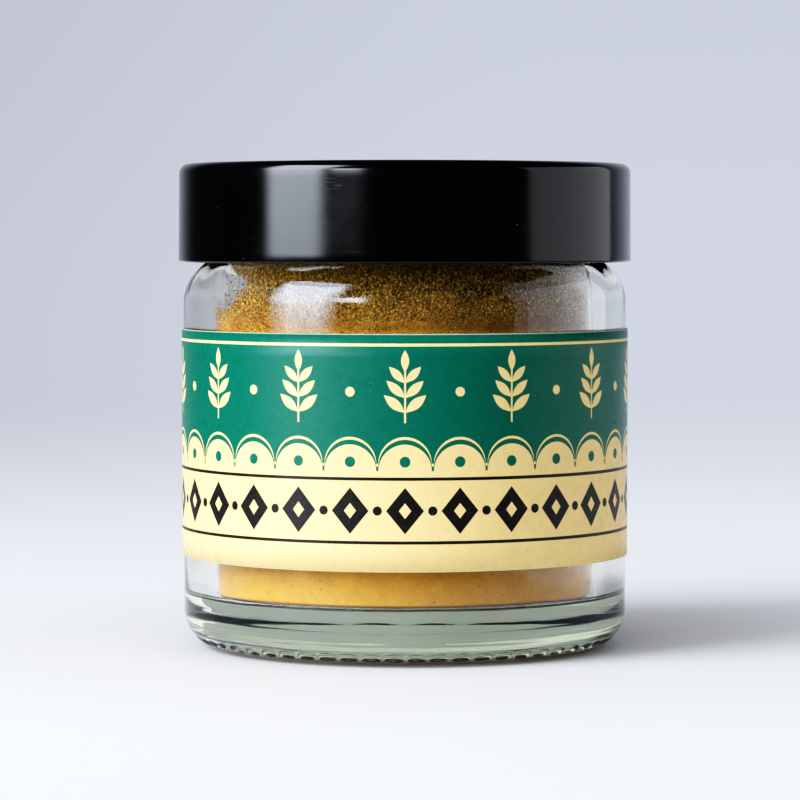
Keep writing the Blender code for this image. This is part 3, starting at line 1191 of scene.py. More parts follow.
def turning_tree() -> bpy.types.NodeTree:
    """Turns an outline into a closed skin, and raises its thread, knurls and ripples.

    Returns:
        The geometry tree. It reads the outline's points in order and its thread, knurl and ripple marks.
    """
    inputs = {
        "Outline": (GEOMETRY,),
        "Segments": (WHOLE, 360),
        "Thread Height": (FLOAT, 0.0),
        "Thread Half Width": (FLOAT, MM),
        "Thread Start": (FLOAT, 0.0),
        "Pitch": (FLOAT, 4 * MM),
        "First Turn": (FLOAT, 0.0),
        "Last Turn": (FLOAT, 1.0),
        "Thread Fade": (FLOAT, 0.08),
        "Knurl Count": (WHOLE, 60),
        "Knurl Height": (FLOAT, 0.0),
        "Ripple Height": (FLOAT, 0.0),
        "Ripple Size": (FLOAT, 8 * MM),
        "Ripple Seed": (FLOAT, 3.0),
        "Finish": (MATERIAL,),
    }
    tree, given, end = new_group("turned_piece", "GeometryNodeTree", inputs, {"Geometry": GEOMETRY})
    count = tree.add("GeometryNodeAttributeDomainSize", {0: given["Outline"]}).outputs["Point Count"]
    columns = tree.plus(given["Segments"], 1.0)
    mesh = tree.add("GeometryNodeMeshGrid", {"Vertices X": columns, "Vertices Y": count}).outputs["Mesh"]
    x, y, _ = tree.split(tree.add("GeometryNodeInputPosition").outputs[0])
    turn = tree.plus(x, 0.5)
    row = tree.times(tree.plus(y, 0.5), tree.minus(count, 1.0))
    row = tree.math("ROUND", row)

    def from_outline(value: Socket, data_type: str) -> Socket:
        """What the outline has at this row."""
        inputs = {"Geometry": given["Outline"], "Index": row, "Value": value}
        sampled = tree.add("GeometryNodeSampleIndex", inputs, data_type=data_type, domain="POINT")
        return sampled.outputs["Value"]

    r, _, z = tree.split(from_outline(tree.add("GeometryNodeInputPosition").outputs[0], "FLOAT_VECTOR"))
    for mark in MARKS:
        mesh = tree.stored(mesh, mark, from_outline(tree.marked(mark), "FLOAT"))
    angle = tree.times(turn, TURN)
    place = tree.join(
        tree.times(r, tree.math("COSINE", angle)),
        tree.times(r, tree.math("SINE", angle)),
        z,
    )
    mesh = tree.add("GeometryNodeSetPosition", {"Geometry": mesh, "Position": place}).outputs[0]
    mesh = tree.add("GeometryNodeMergeByDistance", {"Geometry": mesh, "Distance": WELD}).outputs[0]

    position = tree.add("GeometryNodeInputPosition").outputs[0]
    px, py, pz = tree.split(position)
    turned = tree.math("FRACT", tree.math("DIVIDE", tree.math("ARCTAN2", py, px), TURN))
    bead = tree.times(thread_height(tree, given, turned, pz), given["Thread Height"])
    outwards = tree.vector("NORMALIZE", tree.join(px, py, 0.0))
    shift = tree.scaled(outwards, tree.times(bead, tree.marked("thread")))

    normal = tree.add("GeometryNodeInputNormal").outputs[0]
    along = tree.math("FRACT", tree.times(turned, given["Knurl Count"]))
    off = tree.math("MULTIPLY_ADD", along, 2.0, -1.0)
    lens = tree.minus(tree.marked("knurl"), tree.times(off, off))
    knurl = tree.times(tree.math("SQRT", tree.math("MAXIMUM", lens, 0.0)), given["Knurl Height"])
    flattened = tree.vector("MULTIPLY", position, (1.0, 1.0, RIPPLE_SQUEEZE))
    moved = tree.vector("ADD", flattened, tree.join(given["Ripple Seed"], 0.0, 0.0))
    lumps = tree.minus(tree.noise(moved, given["Ripple Size"], detail=1.0), 0.5)
    ripple = tree.times(lumps, given["Ripple Height"])
    ripple = tree.times(ripple, tree.marked("ripple"))
    shift = tree.vector("ADD", shift, tree.scaled(normal, tree.plus(knurl, ripple)))
    mesh = tree.add("GeometryNodeSetPosition", {"Geometry": mesh, "Offset": shift}).outputs[0]
    mesh = tree.add("GeometryNodeSetShadeSmooth", {"Geometry": mesh}).outputs[0]
    return end_group(tree, end, mesh, given["Finish"])


def random_value(tree: Tree, seed: Value, low: float | tuple, high: float | tuple) -> Socket:
    """A random number or vector between two, for each copy.

    Args:
        tree: the tree to add to.
        seed: the seed.
        low: the least value, a number or a vector.
        high: the greatest value, of the same kind.

    Returns:
        The random value.
    """
    kind, wanted = ("FLOAT_VECTOR", "VECTOR") if isinstance(low, tuple) else ("FLOAT", "VALUE")
    node = tree.add("FunctionNodeRandomValue", {"Seed": seed}, data_type=kind)
    ends = [s for s in node.inputs if s.type == wanted and s.name in ("Min", "Max")]
    tree.feed(ends[0], low)
    tree.feed(ends[1], high)
    return next(s for s in node.outputs if s.type == wanted)


def strewn(
    tree: Tree,
    points: Socket,
    bit: Socket,
    size: Socket,
    seeds: list[Socket],
    squeeze: tuple[Colour, Colour],
) -> Socket:
    """Copies of a bit on points, each turned, squeezed and shaded at random.

    Args:
        tree: the tree to add to.
        points: where the copies go.
        bit: what is copied.
        size: a copy's radius.
        seeds: the seeds of the squeezing, the turning and the shade.
        squeeze: the least and the greatest share of its size along each axis.

    Returns:
        The copies as one real mesh, with their shades stored.
    """
    shape = random_value(tree, seeds[0], *squeeze)
    turned = random_value(tree, seeds[1], (0.0, 0.0, 0.0), (TURN, TURN, TURN))
    inputs = {"Points": points, "Instance": bit, "Rotation": turned, "Scale": tree.scaled(shape, size)}
    copies = tree.add("GeometryNodeInstanceOnPoints", inputs).outputs[0]
    copies = tree.stored(copies, SHADE, random_value(tree, seeds[2], 0.0, 1.0), "INSTANCE")
    return tree.add("GeometryNodeRealizeInstances", {"Geometry": copies}).outputs[0]


def crumbs_tree() -> bpy.types.NodeTree:
    """Breaks a smooth surface up into lumps and strews it with loose crumbs.

    Returns:
        The geometry tree. The surface's ripple mark says where the crumbs lie.
    """
    inputs = {
        "Surface": (GEOMETRY,),
        "Lump Size": (FLOAT, 2.6 * MM),
        "Lump Height": (FLOAT, 0.7 * MM),
        "Crumb Density": (FLOAT, 1.6e6),
        "Crumb Smallest": (FLOAT, 0.07 * MM),
        "Crumb Largest": (FLOAT, 0.26 * MM),
        "Seed": (WHOLE, 11),
        "Finish": (MATERIAL,),
    }
    tree, given, end = new_group("crumbly_surface", "GeometryNodeTree", inputs, {"Geometry": GEOMETRY})
    sizes_and_shares = ((1.0, 1.0), (0.36, 0.45), (0.14, 0.22))
    least_mark = 0.6
    position = tree.add("GeometryNodeInputPosition").outputs[0]
    normal = tree.add("GeometryNodeInputNormal").outputs[0]
    mark = tree.marked("ripple")
    height = 0.0
    for part, share in sizes_and_shares:
        lumps = tree.noise(position, tree.times(given["Lump Size"], part), detail=0.0)
        height = tree.math("MULTIPLY_ADD", tree.minus(lumps, 0.5), share, height)
    height = tree.times(tree.times(height, given["Lump Height"]), mark)
    inputs = {"Geometry": given["Surface"], "Offset": tree.scaled(normal, height)}
    surface = tree.add("GeometryNodeSetPosition", inputs).outputs[0]
    surface = tree.stored(surface, SHADE, 0.5)
    chosen = tree.math("GREATER_THAN", mark, least_mark)
    density, seed = given["Crumb Density"], given["Seed"]
    inputs = {"Mesh": surface, "Selection": chosen, "Density": density, "Seed": seed}
    points = tree.add("GeometryNodeDistributePointsOnFaces", inputs).outputs["Points"]
    crumb = tree.add("GeometryNodeMeshIcoSphere", {"Radius": 1.0, "Subdivisions": 1}).outputs[0]

    seeds = [tree.plus(seed, float(i)) for i in range(1, 5)]
    even = random_value(tree, seeds[0], 0.0, 1.0)
    range_of_sizes = tree.minus(given["Crumb Largest"], given["Crumb Smallest"])
    size = tree.times(even, even)
    size = tree.math("MULTIPLY_ADD", size, range_of_sizes, given["Crumb Smallest"])
    crumbs = strewn(tree, points, crumb, size, seeds[1:], ((0.6, 0.6, 0.4), (1.3, 1.0, 0.9)))
    both = tree.add("GeometryNodeJoinGeometry")
    tree.feed(both.inputs[0], crumbs)
    tree.feed(both.inputs[0], surface)
    return end_group(tree, end, both.outputs[0], given["Finish"])


def grains_tree() -> bpy.types.NodeTree:
    """Strews a wall with loose grains of powder, fewer the higher they are.

    Returns:
        The geometry tree, which gives the grains alone.
    """
    inputs = {
        "Wall": (GEOMETRY,),
        "Density": (FLOAT, 3.0e6),
        "Thinning From": (FLOAT, 43 * MM),
        "Thinning To": (FLOAT, 53 * MM),
        "Least Share": (FLOAT, 0.03),
        "Smallest": (FLOAT, 0.04 * MM),
        "Largest": (FLOAT, 0.13 * MM),
        "Seed": (WHOLE, 5),
        "Finish": (MATERIAL,),
    }
    tree, given, end = new_group("clinging_grains", "GeometryNodeTree", inputs, {"Geometry": GEOMETRY})
    drift_size, drift_edge, drift_share = 6 * MM, (0.34, 0.60), (0.2, 1.0)
    bare_share = 0.985
    position = tree.add("GeometryNodeInputPosition").outputs[0]
    height = tree.split(position)[2]
    left = tree.ramp(height, given["Thinning From"], given["Thinning To"], (1.0, 0.0))
    fewer = tree.math("MAXIMUM", left, given["Least Share"])
    drift = tree.ramp(tree.noise(position, drift_size), *drift_edge, drift_share)
    bare = tree.times(bare_patch(tree, position), bare_share)
    density = given["Density"]
    for share in (fewer, drift, tree.minus(1.0, bare)):
        density = tree.times(density, share)
    inputs = {"Mesh": given["Wall"], "Density": density, "Seed": given["Seed"]}
    points = tree.add("GeometryNodeDistributePointsOnFaces", inputs).outputs["Points"]
    grain = tree.add("GeometryNodeMeshUVSphere", {"Segments": 4, "Rings": 2, "Radius": 1.0}).outputs[0]
    size = random_value(tree, given["Seed"], given["Smallest"], given["Largest"])
    seeds = [tree.plus(given["Seed"], float(i)) for i in range(1, 4)]
    grains = strewn(tree, points, grain, size, seeds, ((0.7, 0.7, 0.5), (1.3, 1.0, 0.9)))
    return end_group(tree, end, grains, given["Finish"])


def placed(name: str, data: bpy.types.ID) -> bpy.types.Object:
    """A new object in the scene, at the origin."""
    thing = bpy.data.objects.new(name, data)
    bpy.context.scene.collection.objects.link(thing)
    return thing


def keep_result(piece: bpy.types.Object) -> None:
    """Puts what a piece's modifiers make of it in the place of its mesh, and takes them off.

    Args:
        piece: the piece.
    """
    start = piece.data
    bpy.context.view_layer.update()
    graph = bpy.context.evaluated_depsgraph_get()
    piece.data = bpy.data.meshes.new_from_object(piece.evaluated_get(graph))
    piece.modifiers.clear()
    bpy.data.meshes.remove(start)
    piece.data.name = piece.name


def run_tree(
    name: str, mesh: bpy.types.Mesh, tree: bpy.types.NodeTree, **values: object
) -> bpy.types.Object:
    """Runs a geometry tree on a mesh and keeps its result as a plain mesh.

    Args:
        name: the finished piece's name.
        mesh: what the tree starts from.
        tree: the geometry tree.
        values: its inputs, whose names are written with underlines.

    Returns:
        The piece, at the origin, with no modifier left on it.
    """
    piece = placed(name, mesh)
    modifier = piece.modifiers.new(tree.name, "NODES")
    modifier.node_group = tree
    sockets = [item for item in tree.interface.items_tree if item.item_type == "SOCKET"]
    identifiers = {s.name: s.identifier for s in sockets if s.in_out == "INPUT"}
    for label, value in values.items():
        modifier[identifiers[label.replace("_", " ")]] = value
    keep_result(piece)
    return piece


def mesh_of(step: bpy.types.Object) -> bpy.types.Mesh:
    """The mesh of a piece that is only a step on the way, without its object."""
    mesh = step.data.copy()
    bpy.data.objects.remove(step)
    return mesh


def turned_piece(
    name: str, outline: Outline, turning: bpy.types.NodeTree, **values: object
) -> bpy.types.Object:
    """A closed piece turned from its outline, with its faces pointing outwards.

    Args:
        name: the piece's name.
        outline: its closed outline.
        turning: the turning tree.
        values: the tree's inputs.

    Returns:
        The piece.
    """
    piece = run_tree(name, outline.mesh(name + "_outline"), turning, **values)
    cage = bmesh.new()
    cage.from_mesh(piece.data)
    if cage.calc_volume(signed=True) < 0:
        bmesh.ops.reverse_faces(cage, faces=cage.faces)
    cage.to_mesh(piece.data)
    cage.free()
    return piece


def finished(piece: bpy.types.Object, body: Body, slot: Slot, *nodes: str) -> bpy.types.Object:
    """Puts a finished piece on its body, in place of its CAD nodes, and reports it.

    Args:
        piece: the piece.
        body: the body that it rides on.
        slot: its material slot; not used.
        nodes: the CAD nodes that it replaces.

    Returns:
        The piece.
    """
    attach(piece, body.value)
    if nodes:
        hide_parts(*nodes)
    log.info("%s: %d faces on %s", piece.name, len(piece.data.polygons), body.value)
    return piece


# The pieces


@dataclass
class GlassJar:
    """The moulded glass: body, shoulder, neck, thread and knurled foot in one."""

    radius: float
    rim_z: float
    turning: bpy.types.NodeTree
    finish: bpy.types.Material
    wall: float = 4.3 * MM
    heel_radius: float = 5.0 * MM
    foot_width: float = 2.3 * MM
    push_up_edge: float = 2.35 * MM
    push_up_centre: float = 2.8 * MM
    floor_edge_z: float = 7.1 * MM
    floor_centre_z: float = 7.5 * MM
    floor_fillet: float = 0.8 * MM
    shoulder_z: float = 46.8 * MM
    shoulder_radius: float = 6.2 * MM
    shoulder_fillet: float = 0.8 * MM
    inner_shoulder_height: float = 5.4 * MM
    neck_radius: float = 26.9 * MM
    neck_inner_radius: float = 24.0 * MM
    rim_inner_round: float = 1.2 * MM
    rim_outer_round: float = 1.0 * MM
    thread_bead: float = 1.2 * MM
    thread_start_z: float = 55.2 * MM
    thread_pitch: float = 4.0 * MM
    thread_turns: float = 1.15
    mould_ring: float = 0.030 * MM
    mould_rings: int = 5
    knurl_count: int = 60
    knurl_height: float = 0.42 * MM
    knurl_angle_deg: float = 40.0
    knurl_reach_deg: float = 9.5
    ripple_height: float = 0.22 * MM
    ripple_size: float = 7.0 * MM
    inside_step: float = 2.8 * MM
    neck_step: float = 2.0 * MM
    thread_step: float = 0.29 * MM
    outside_step: float = 3.0 * MM
    floor_steps: int = 12
    floor_fillet_steps: int = 10
    inner_shoulder_steps: int = 12
    rim_steps: int = 6
    shoulder_fillet_steps: int = 4
    shoulder_steps: int = 14
    heel_steps: int = 44
    foot_steps: int = 6
    underside_steps: int = 26
    underside_rings: float = 2.5
    segments: int = 480

    @property
    def inner_radius(self) -> float:
        """The radius of the bore."""
        return self.radius - self.wall

    def floor_points(self) -> list[Point]:
        """The inside floor from its middle, and the fillet up to the wall.

        Returns:
            The points.
        """
        fillet_r = self.inner_radius - self.floor_fillet
        rise = self.floor_centre_z - self.floor_edge_z
        floor = []
        for i in range(self.floor_steps):
            share = i / self.floor_steps
            floor.append((fillet_r * share, self.floor_edge_z + rise * (1 - share**2)))
        centre = (fillet_r, self.floor_edge_z + self.floor_fillet)
        return floor + arc(centre, self.floor_fillet, -90, 0, self.floor_fillet_steps)

    def shoulder_points(self) -> list[Point]:
        """The neck's foot and the rounded shoulder, down to the body wall.

        Returns:
            The points.
        """
        centre = (self.radius - self.shoulder_radius, self.shoulder_z)
        fillet_r = self.neck_radius + self.shoulder_fillet
        between = self.shoulder_radius + self.shoulder_fillet
        fillet_z = self.shoulder_z + math.sqrt(between**2 - (fillet_r - centre[0]) ** 2)
        meeting = math.degrees(math.atan2(fillet_z - centre[1], fillet_r - centre[0]))
        fillet_centre = (fillet_r, fillet_z)
        steps = self.shoulder_fillet_steps
        fillet = arc(fillet_centre, self.shoulder_fillet, 180, 180 + meeting, steps)
        return fillet + arc(centre, self.shoulder_radius, meeting, 0, self.shoulder_steps)

    def inner_shoulder(self, gap: float = 0.0) -> list[Point]:
        """The inside of the shoulder from the wall to the neck, or a surface a gap off it.

        Args:
            gap: how far the surface is off the glass.

        Returns:
            The points.
        """
        steps = self.inner_shoulder_steps
        wall, neck = self.inner_radius - gap, self.neck_inner_radius - gap
        points = []
        for i in range(1, steps + 1):
            ease = (1 + math.cos(math.pi * i / steps)) / 2
            z = self.shoulder_z + self.inner_shoulder_height * i / steps
            points.append((neck + (wall - neck) * ease, z))
        return points

    def add_heel(self, outline: Outline) -> None:
        """Adds the heel, with its knurls' marks and its faint mould rings, to an outline.

        Args:
            outline: the outline.
        """
        centre = (self.radius - self.heel_radius, self.heel_radius)
        steps = self.heel_steps
        for i in range(1, steps + 1):
            from_down = 90 * (1 - i / steps)
            across = (from_down - self.knurl_angle_deg) / self.knurl_reach_deg
            ripple = 0.5 * math.sin(math.pi * i / steps)
            ring = self.mould_ring * ripple * math.sin(TURN * self.mould_rings * i / steps)
            point = arc(centre, self.heel_radius - abs(ring) - ring, from_down - 90, from_down - 90, 0)
            outline.add(point, knurl=max(0.0, 1 - across**2), ripple=ripple)

    def add_underside(self, outline: Outline) -> None:
        """Adds the step inside the foot and the pushed-up underside to an outline.

        Args:
            outline: the outline.
        """
        step_r = self.radius - self.heel_radius - self.foot_width - self.push_up_edge
        outline.add(arc((step_r, 0.0), self.push_up_edge, 0, 90, self.foot_steps))
        steps = self.underside_steps
        rise = self.push_up_centre - self.push_up_edge
        for i in range(1, steps + 1):
            share = 1 - i / steps
            ring = 0.5 * self.mould_ring * math.sin(TURN * self.underside_rings * share)
            outline.add([(step_r * share, self.push_up_edge + rise * (1 - share**2) + ring)], ripple=0.6)

    def outline(self) -> Outline:
        """The whole outline, from the floor's middle, over the rim, to the underside's middle.

        Returns:
            The outline.
        """
        inner_rim = (self.neck_inner_radius + self.rim_inner_round, self.rim_z - self.rim_inner_round)
        outer_rim = (self.neck_radius - self.rim_outer_round, self.rim_z - self.rim_outer_round)
        shoulder = self.shoulder_points()
        outline = Outline()
        outline.add(self.floor_points(), ripple=1.0)
        outline.line_to((self.inner_radius, self.shoulder_z), self.inside_step, ripple=0.5)
        outline.add(self.inner_shoulder(), ripple=1.0)
        outline.line_to((self.neck_inner_radius, inner_rim[1]), self.neck_step)
        outline.add(arc(inner_rim, self.rim_inner_round, 180, 90, self.rim_steps))
        outline.add(arc(outer_rim, self.rim_outer_round, 90, 0, self.rim_steps))
        outline.line_to(shoulder[0], self.thread_step, thread=1.0)
        outline.add(shoulder)
        outline.line_to((self.radius, self.heel_radius), self.outside_step)
        self.add_heel(outline)
        self.add_underside(outline)
        return outline

    def build(self) -> bpy.types.Object:
        """The jar, turned from its outline with its thread and knurls raised.

        Returns:
            The jar.
        """
        jar = turned_piece(
            "glass_jar_body",
            self.outline(),
            self.turning,
            Segments=self.segments,
            Thread_Height=self.thread_bead,
            Thread_Half_Width=self.thread_bead,
            Thread_Start=self.thread_start_z,
            Pitch=self.thread_pitch,
            Last_Turn=self.thread_turns,
            Knurl_Count=self.knurl_count,
            Knurl_Height=self.knurl_height,
            Ripple_Height=self.ripple_height,
            Ripple_Size=self.ripple_size,
            Finish=self.finish,
        )
        return finished(jar, Body.JAR, Slot.GLASS, "glass_jar")


@dataclass
class GroundSpice:
    """The ground root: a body of powder under a crumbly mound, and what clings to the glass above it."""

    jar: GlassJar
    turning: bpy.types.NodeTree
    crumbs: bpy.types.NodeTree
    grains: bpy.types.NodeTree
    finish: bpy.types.Material
    film_finish: bpy.types.Material
    gap: float = 0.3 * MM
    edge_z: float = 46.3 * MM
    edge_round: float = 2.2 * MM
    edge_steps: int = 10
    edge_calm: float = 0.75
    edge_step: float = 0.3 * MM
    side_step: float = 1.5 * MM
    segments: int = 300
    mound: float = 4.4 * MM
    mound_power: float = 2.2
    tilt: float = 0.7 * MM
    unevenness: float = 0.8 * MM
    lump: float = 7.0 * MM
    top_rings: int = 84
    grain_gap: float = 0.20 * MM
    film_gap: float = 0.42 * MM
    film_thickness: float = 0.02 * MM
    cling_bottom_z: float = 42.4 * MM
    cling_top_down: float = 3.0 * MM
    cling_side_step: float = 0.5 * MM
    cling_neck_step: float = 1.0 * MM
    grain_wall_segments: int = 180
    film_segments: int = 240

    @property
    def radius(self) -> float:
        """The radius of the body of powder."""
        return self.jar.inner_radius - self.gap

    @property
    def lift_from_z(self) -> float:
        """The height below which the body of powder keeps its even wall."""
        return self.edge_z - 1.5 * self.edge_round

    def top_rise(self, x: float, y: float) -> float:
        """How far the mound stands above its edge before its crumbs, by the CAD solid's formula."""
        share = min(1.0, math.hypot(x, y) / self.radius)
        lump = noise.noise(Vector((x, y, 0.0)) / self.lump)
        rise = self.mound * (1 - share**self.mound_power)
        return rise + self.tilt * x / self.radius + self.unevenness * lump

    def outline(self) -> Outline:
        """The flat-topped body of powder, with marks where the surface is crumbly.

        Returns:
            The outline.
        """
        outline = Outline()
        flat_r = self.radius - self.edge_round
        for i in range(self.top_rings + 1):
            outline.add([(flat_r * i / self.top_rings, self.edge_z)], ripple=1.0)
        slump = arc((flat_r, self.edge_z - self.edge_round), self.edge_round, 90, 0, self.edge_steps)
        for i, point in enumerate(slump[1:]):
            outline.add([point], ripple=1.0 - self.edge_calm * i / self.edge_steps)
        floor_z = self.jar.floor_edge_z + self.gap + self.jar.floor_fillet
        outline.line_to((self.radius, self.lift_from_z), self.edge_step, ripple=0.2)
        outline.line_to((self.radius, floor_z), self.side_step)
        floor = [(max(0.0, r - self.gap), z + self.gap) for r, z in self.jar.floor_points()]
        outline.add(floor[::-1])
        return outline

    def raise_mound(self, piece: bpy.types.Object) -> None:
        """Lifts the flat top to the mound."""
        for vertex in piece.data.vertices:
            share = (vertex.co.z - self.lift_from_z) / (self.edge_z - self.lift_from_z)
            if share > 0:
                vertex.co.z += self.top_rise(vertex.co.x, vertex.co.y) * min(1.0, share)

    def build(self) -> bpy.types.Object:
        """The powder in the jar, turned flat, raised to its mound and strewn with crumbs.

        Returns:
            The powder.
        """
        values = {"Segments": self.segments, "Finish": self.finish}
        body = turned_piece("spice_body", self.outline(), self.turning, **values)
        self.raise_mound(body)
        piece = run_tree("ground_spice_fill", mesh_of(body), self.crumbs, Finish=self.finish)
        return finished(piece, Body.JAR, Slot.SPICE, "ground_spice")

    def wall(self, gap: float) -> Outline:
        """The inside of the jar's wall, shoulder and neck, a gap off the glass, from the label up.

        Args:
            gap: the gap.

        Returns:
            The open outline.
        """
        outline = Outline()
        r = self.jar.inner_radius - gap
        outline.add([(r, self.cling_bottom_z)])
        outline.line_to((r, self.jar.shoulder_z), self.cling_side_step)
        outline.add(self.jar.inner_shoulder(gap))
        top = (self.jar.neck_inner_radius - gap, self.jar.rim_z - self.cling_top_down)
        return outline.line_to(top, self.cling_neck_step)

    def build_grains(self, name: str, **sizes: float) -> bpy.types.Object:
        """Loose grains that cling to the inside of the glass.

        Args:
            name: the piece's name.
            sizes: the grains tree's inputs.

        Returns:
            The grains.
        """
        outline = self.wall(self.grain_gap).mesh("grain_wall_outline")
        values = {"Segments": self.grain_wall_segments, "Finish": self.finish}
        wall = run_tree("grain_wall", outline, self.turning, **values)
        piece = run_tree(name, mesh_of(wall), self.grains, Finish=self.finish, **sizes)
        return finished(piece, Body.JAR, Slot.SPICE)

    def build_film(self) -> bpy.types.Object:
        """The dusty film behind those grains, a thin closed ring.

        Returns:
            The film.
        """
        outline = self.wall(self.film_gap)
        inner = self.wall(self.film_gap + self.film_thickness)
        outline.add(inner.points[::-1])
        outline.add([outline.points[0]])
        values = {"Segments": self.film_segments, "Finish": self.film_finish}
        film = turned_piece("clinging_dust", outline, self.turning, **values)
        return finished(film, Body.JAR, Slot.SPICE)


@dataclass
class PaperLabel:
    """The printed strip round the jar, which leaves a narrow gap at the back."""

    radius: float
    bottom_z: float
    top_z: float
    thickness: float = 0.14 * MM
    seam_gap: float = 5.0 * MM
    columns: int = 360
    rows: int = 10

    @property
    def length(self) -> float:
        """The flat label's length."""
        return TURN * self.radius - self.seam_gap

    def strip(self) -> bpy.types.Mesh:
        """The label's curved face, with a UV map of the flat paper.

        Returns:
            Its mesh.
        """
        gap_angle = self.seam_gap / self.radius
        start = math.pi / 2 + gap_angle / 2
        cage = bmesh.new()
        uv_layer = cage.loops.layers.uv.new("label")
        grid = {}
        for i in range(self.columns + 1):
            angle = start + (TURN - gap_angle) * i / self.columns
            x, y = self.radius * math.cos(angle), self.radius * math.sin(angle)
            for j in range(self.rows + 1):
                z = self.bottom_z + (self.top_z - self.bottom_z) * j / self.rows
                grid[i, j] = cage.verts.new((x, y, z))
        for i in range(self.columns):
            for j in range(self.rows):
                corners = ((i, j), (i + 1, j), (i + 1, j + 1), (i, j + 1))
                face = cage.faces.new([grid[corner] for corner in corners])
                face.smooth = True
                for loop, (column, row) in zip(face.loops, corners):
                    loop[uv_layer].uv = (column / self.columns, row / self.rows)
        mesh = bpy.data.meshes.new("label_face")
        cage.to_mesh(mesh)
        cage.free()
        return mesh

    def build(self, printed: bpy.types.Material, plain: bpy.types.Material) -> bpy.types.Object:
        """The label: the strip given the paper's thickness.

        Args:
            printed: the finish of its face.
            plain: the finish of its back and edges.

        Returns:
            The label.
        """
        label = placed("paper_label_wrap", self.strip())
        label.data.materials.append(printed)
        label.data.materials.append(plain)
        paper = label.modifiers.new("paper", "SOLIDIFY")
        paper.thickness = self.thickness
        paper.offset = -1.0
        paper.material_offset = 1
        paper.material_offset_rim = 1
        keep_result(label)
        return finished(label, Body.JAR, Slot.PAPER, "paper_label")


@dataclass
class ScrewLid:
    """The glossy moulded lid with its thread inside the skirt."""

    radius: float
    bottom_z: float
    top_z: float
    turning: bpy.types.NodeTree
    finish: bpy.types.Material
    top_thickness: float = 1.8 * MM
    inner_radius: float = 28.6 * MM
    draft: float = 0.1 * MM
    top_round: float = 1.3 * MM
    hem_round: float = 0.3 * MM
    mouth_chamfer: float = 0.4 * MM
    thread_bead: float = 1.2 * MM
    thread_pitch: float = 4.0 * MM
    neck_thread_start_z: float = 55.2 * MM
    first_turn: float = 0.15
    last_turn: float = 1.15
    top_step: float = 1.2 * MM
    top_round_steps: int = 10
    side_step: float = 1.0 * MM
    hem_steps: int = 5
    thread_step: float = 0.26 * MM
    ceiling_step: float = 1.5 * MM
    segments: int = 288

    def outline(self) -> Outline:
        """The outline, from the middle of the top, down the outside, to the middle of the ceiling.

        Returns:
            The outline.
        """
        outline = Outline()
        top_r = self.radius - self.draft - self.top_round
        outline.add([(0.0, self.top_z)])
        outline.line_to((top_r, self.top_z), self.top_step)
        top_centre = (top_r, self.top_z - self.top_round)
        outline.add(arc(top_centre, self.top_round, 90, 0, self.top_round_steps))
        outline.line_to((self.radius, self.bottom_z + self.hem_round), self.side_step)
        hem_centre = (self.radius - self.hem_round, self.bottom_z + self.hem_round)
        outline.add(arc(hem_centre, self.hem_round, 0, -90, self.hem_steps))
        outline.add([
            (self.inner_radius + self.mouth_chamfer, self.bottom_z),
            (self.inner_radius, self.bottom_z + self.mouth_chamfer),
        ])
        ceiling = self.top_z - self.top_thickness
        outline.line_to((self.inner_radius, ceiling), self.thread_step, thread=1.0)
        outline.line_to((0.0, ceiling), self.ceiling_step)
        return outline

    def build(self) -> bpy.types.Object:
        """The lid, turned from its outline with its thread raised inwards.

        Returns:
            The lid.
        """
        start = self.neck_thread_start_z + self.thread_pitch * self.first_turn - self.thread_pitch / 2
        lid = turned_piece(
            "screw_lid_shell",
            self.outline(),
            self.turning,
            Segments=self.segments,
            Thread_Height=-self.thread_bead,
            Thread_Half_Width=self.thread_bead,
            Thread_Start=start,
            Pitch=self.thread_pitch,
            First_Turn=self.first_turn,
            Last_Turn=self.last_turn,
            Finish=self.finish,
        )
        return finished(lid, Body.LID, Slot.PLASTIC, "screw_lid")


@dataclass
class SealingLiner:
    """The soft foam disc under the lid's top, marked by the rim that it is pressed on."""

    radius: float
    bottom_z: float
    top_z: float
    turning: bpy.types.NodeTree
    finish: bpy.types.Material
    edge_round: float = 0.3 * MM
    rim_radius: float = 25.5 * MM
    rim_mark_width: float = 1.2 * MM
    rim_mark_depth: float = 0.12 * MM
    rim_mark_steps: int = 12
    edge_steps: int = 4
    flat_step: float = 2.0 * MM
    segments: int = 120

    def outline(self) -> Outline:
        """The disc's outline, with the shallow ring that the rim has pressed into its underside.

        Returns:
            The outline.
        """
        outline = Outline()
        edge = self.radius - self.edge_round
        outline.add([(0.0, self.top_z)])
        outline.line_to((edge, self.top_z), self.flat_step)
        for z, start in ((self.top_z - self.edge_round, 90), (self.bottom_z + self.edge_round, 0)):
            outline.add(arc((edge, z), self.edge_round, start, start - 90, self.edge_steps))
        for i in range(self.rim_mark_steps + 1):
            share = 1 - 2 * i / self.rim_mark_steps
            depth = self.rim_mark_depth * (1 + math.cos(math.pi * share)) / 2
            outline.add([(self.rim_radius + self.rim_mark_width * share, self.bottom_z + depth)])
        outline.line_to((0.0, self.bottom_z), self.flat_step)
        return outline

    def build(self) -> bpy.types.Object:
        """The liner, turned from its outline."""
        values = {"Segments": self.segments, "Finish": self.finish}
        liner = turned_piece("sealing_liner_disc", self.outline(), self.turning, **values)
        return finished(liner, Body.LINER, Slot.FOAM, "sealing_liner")


# The studio


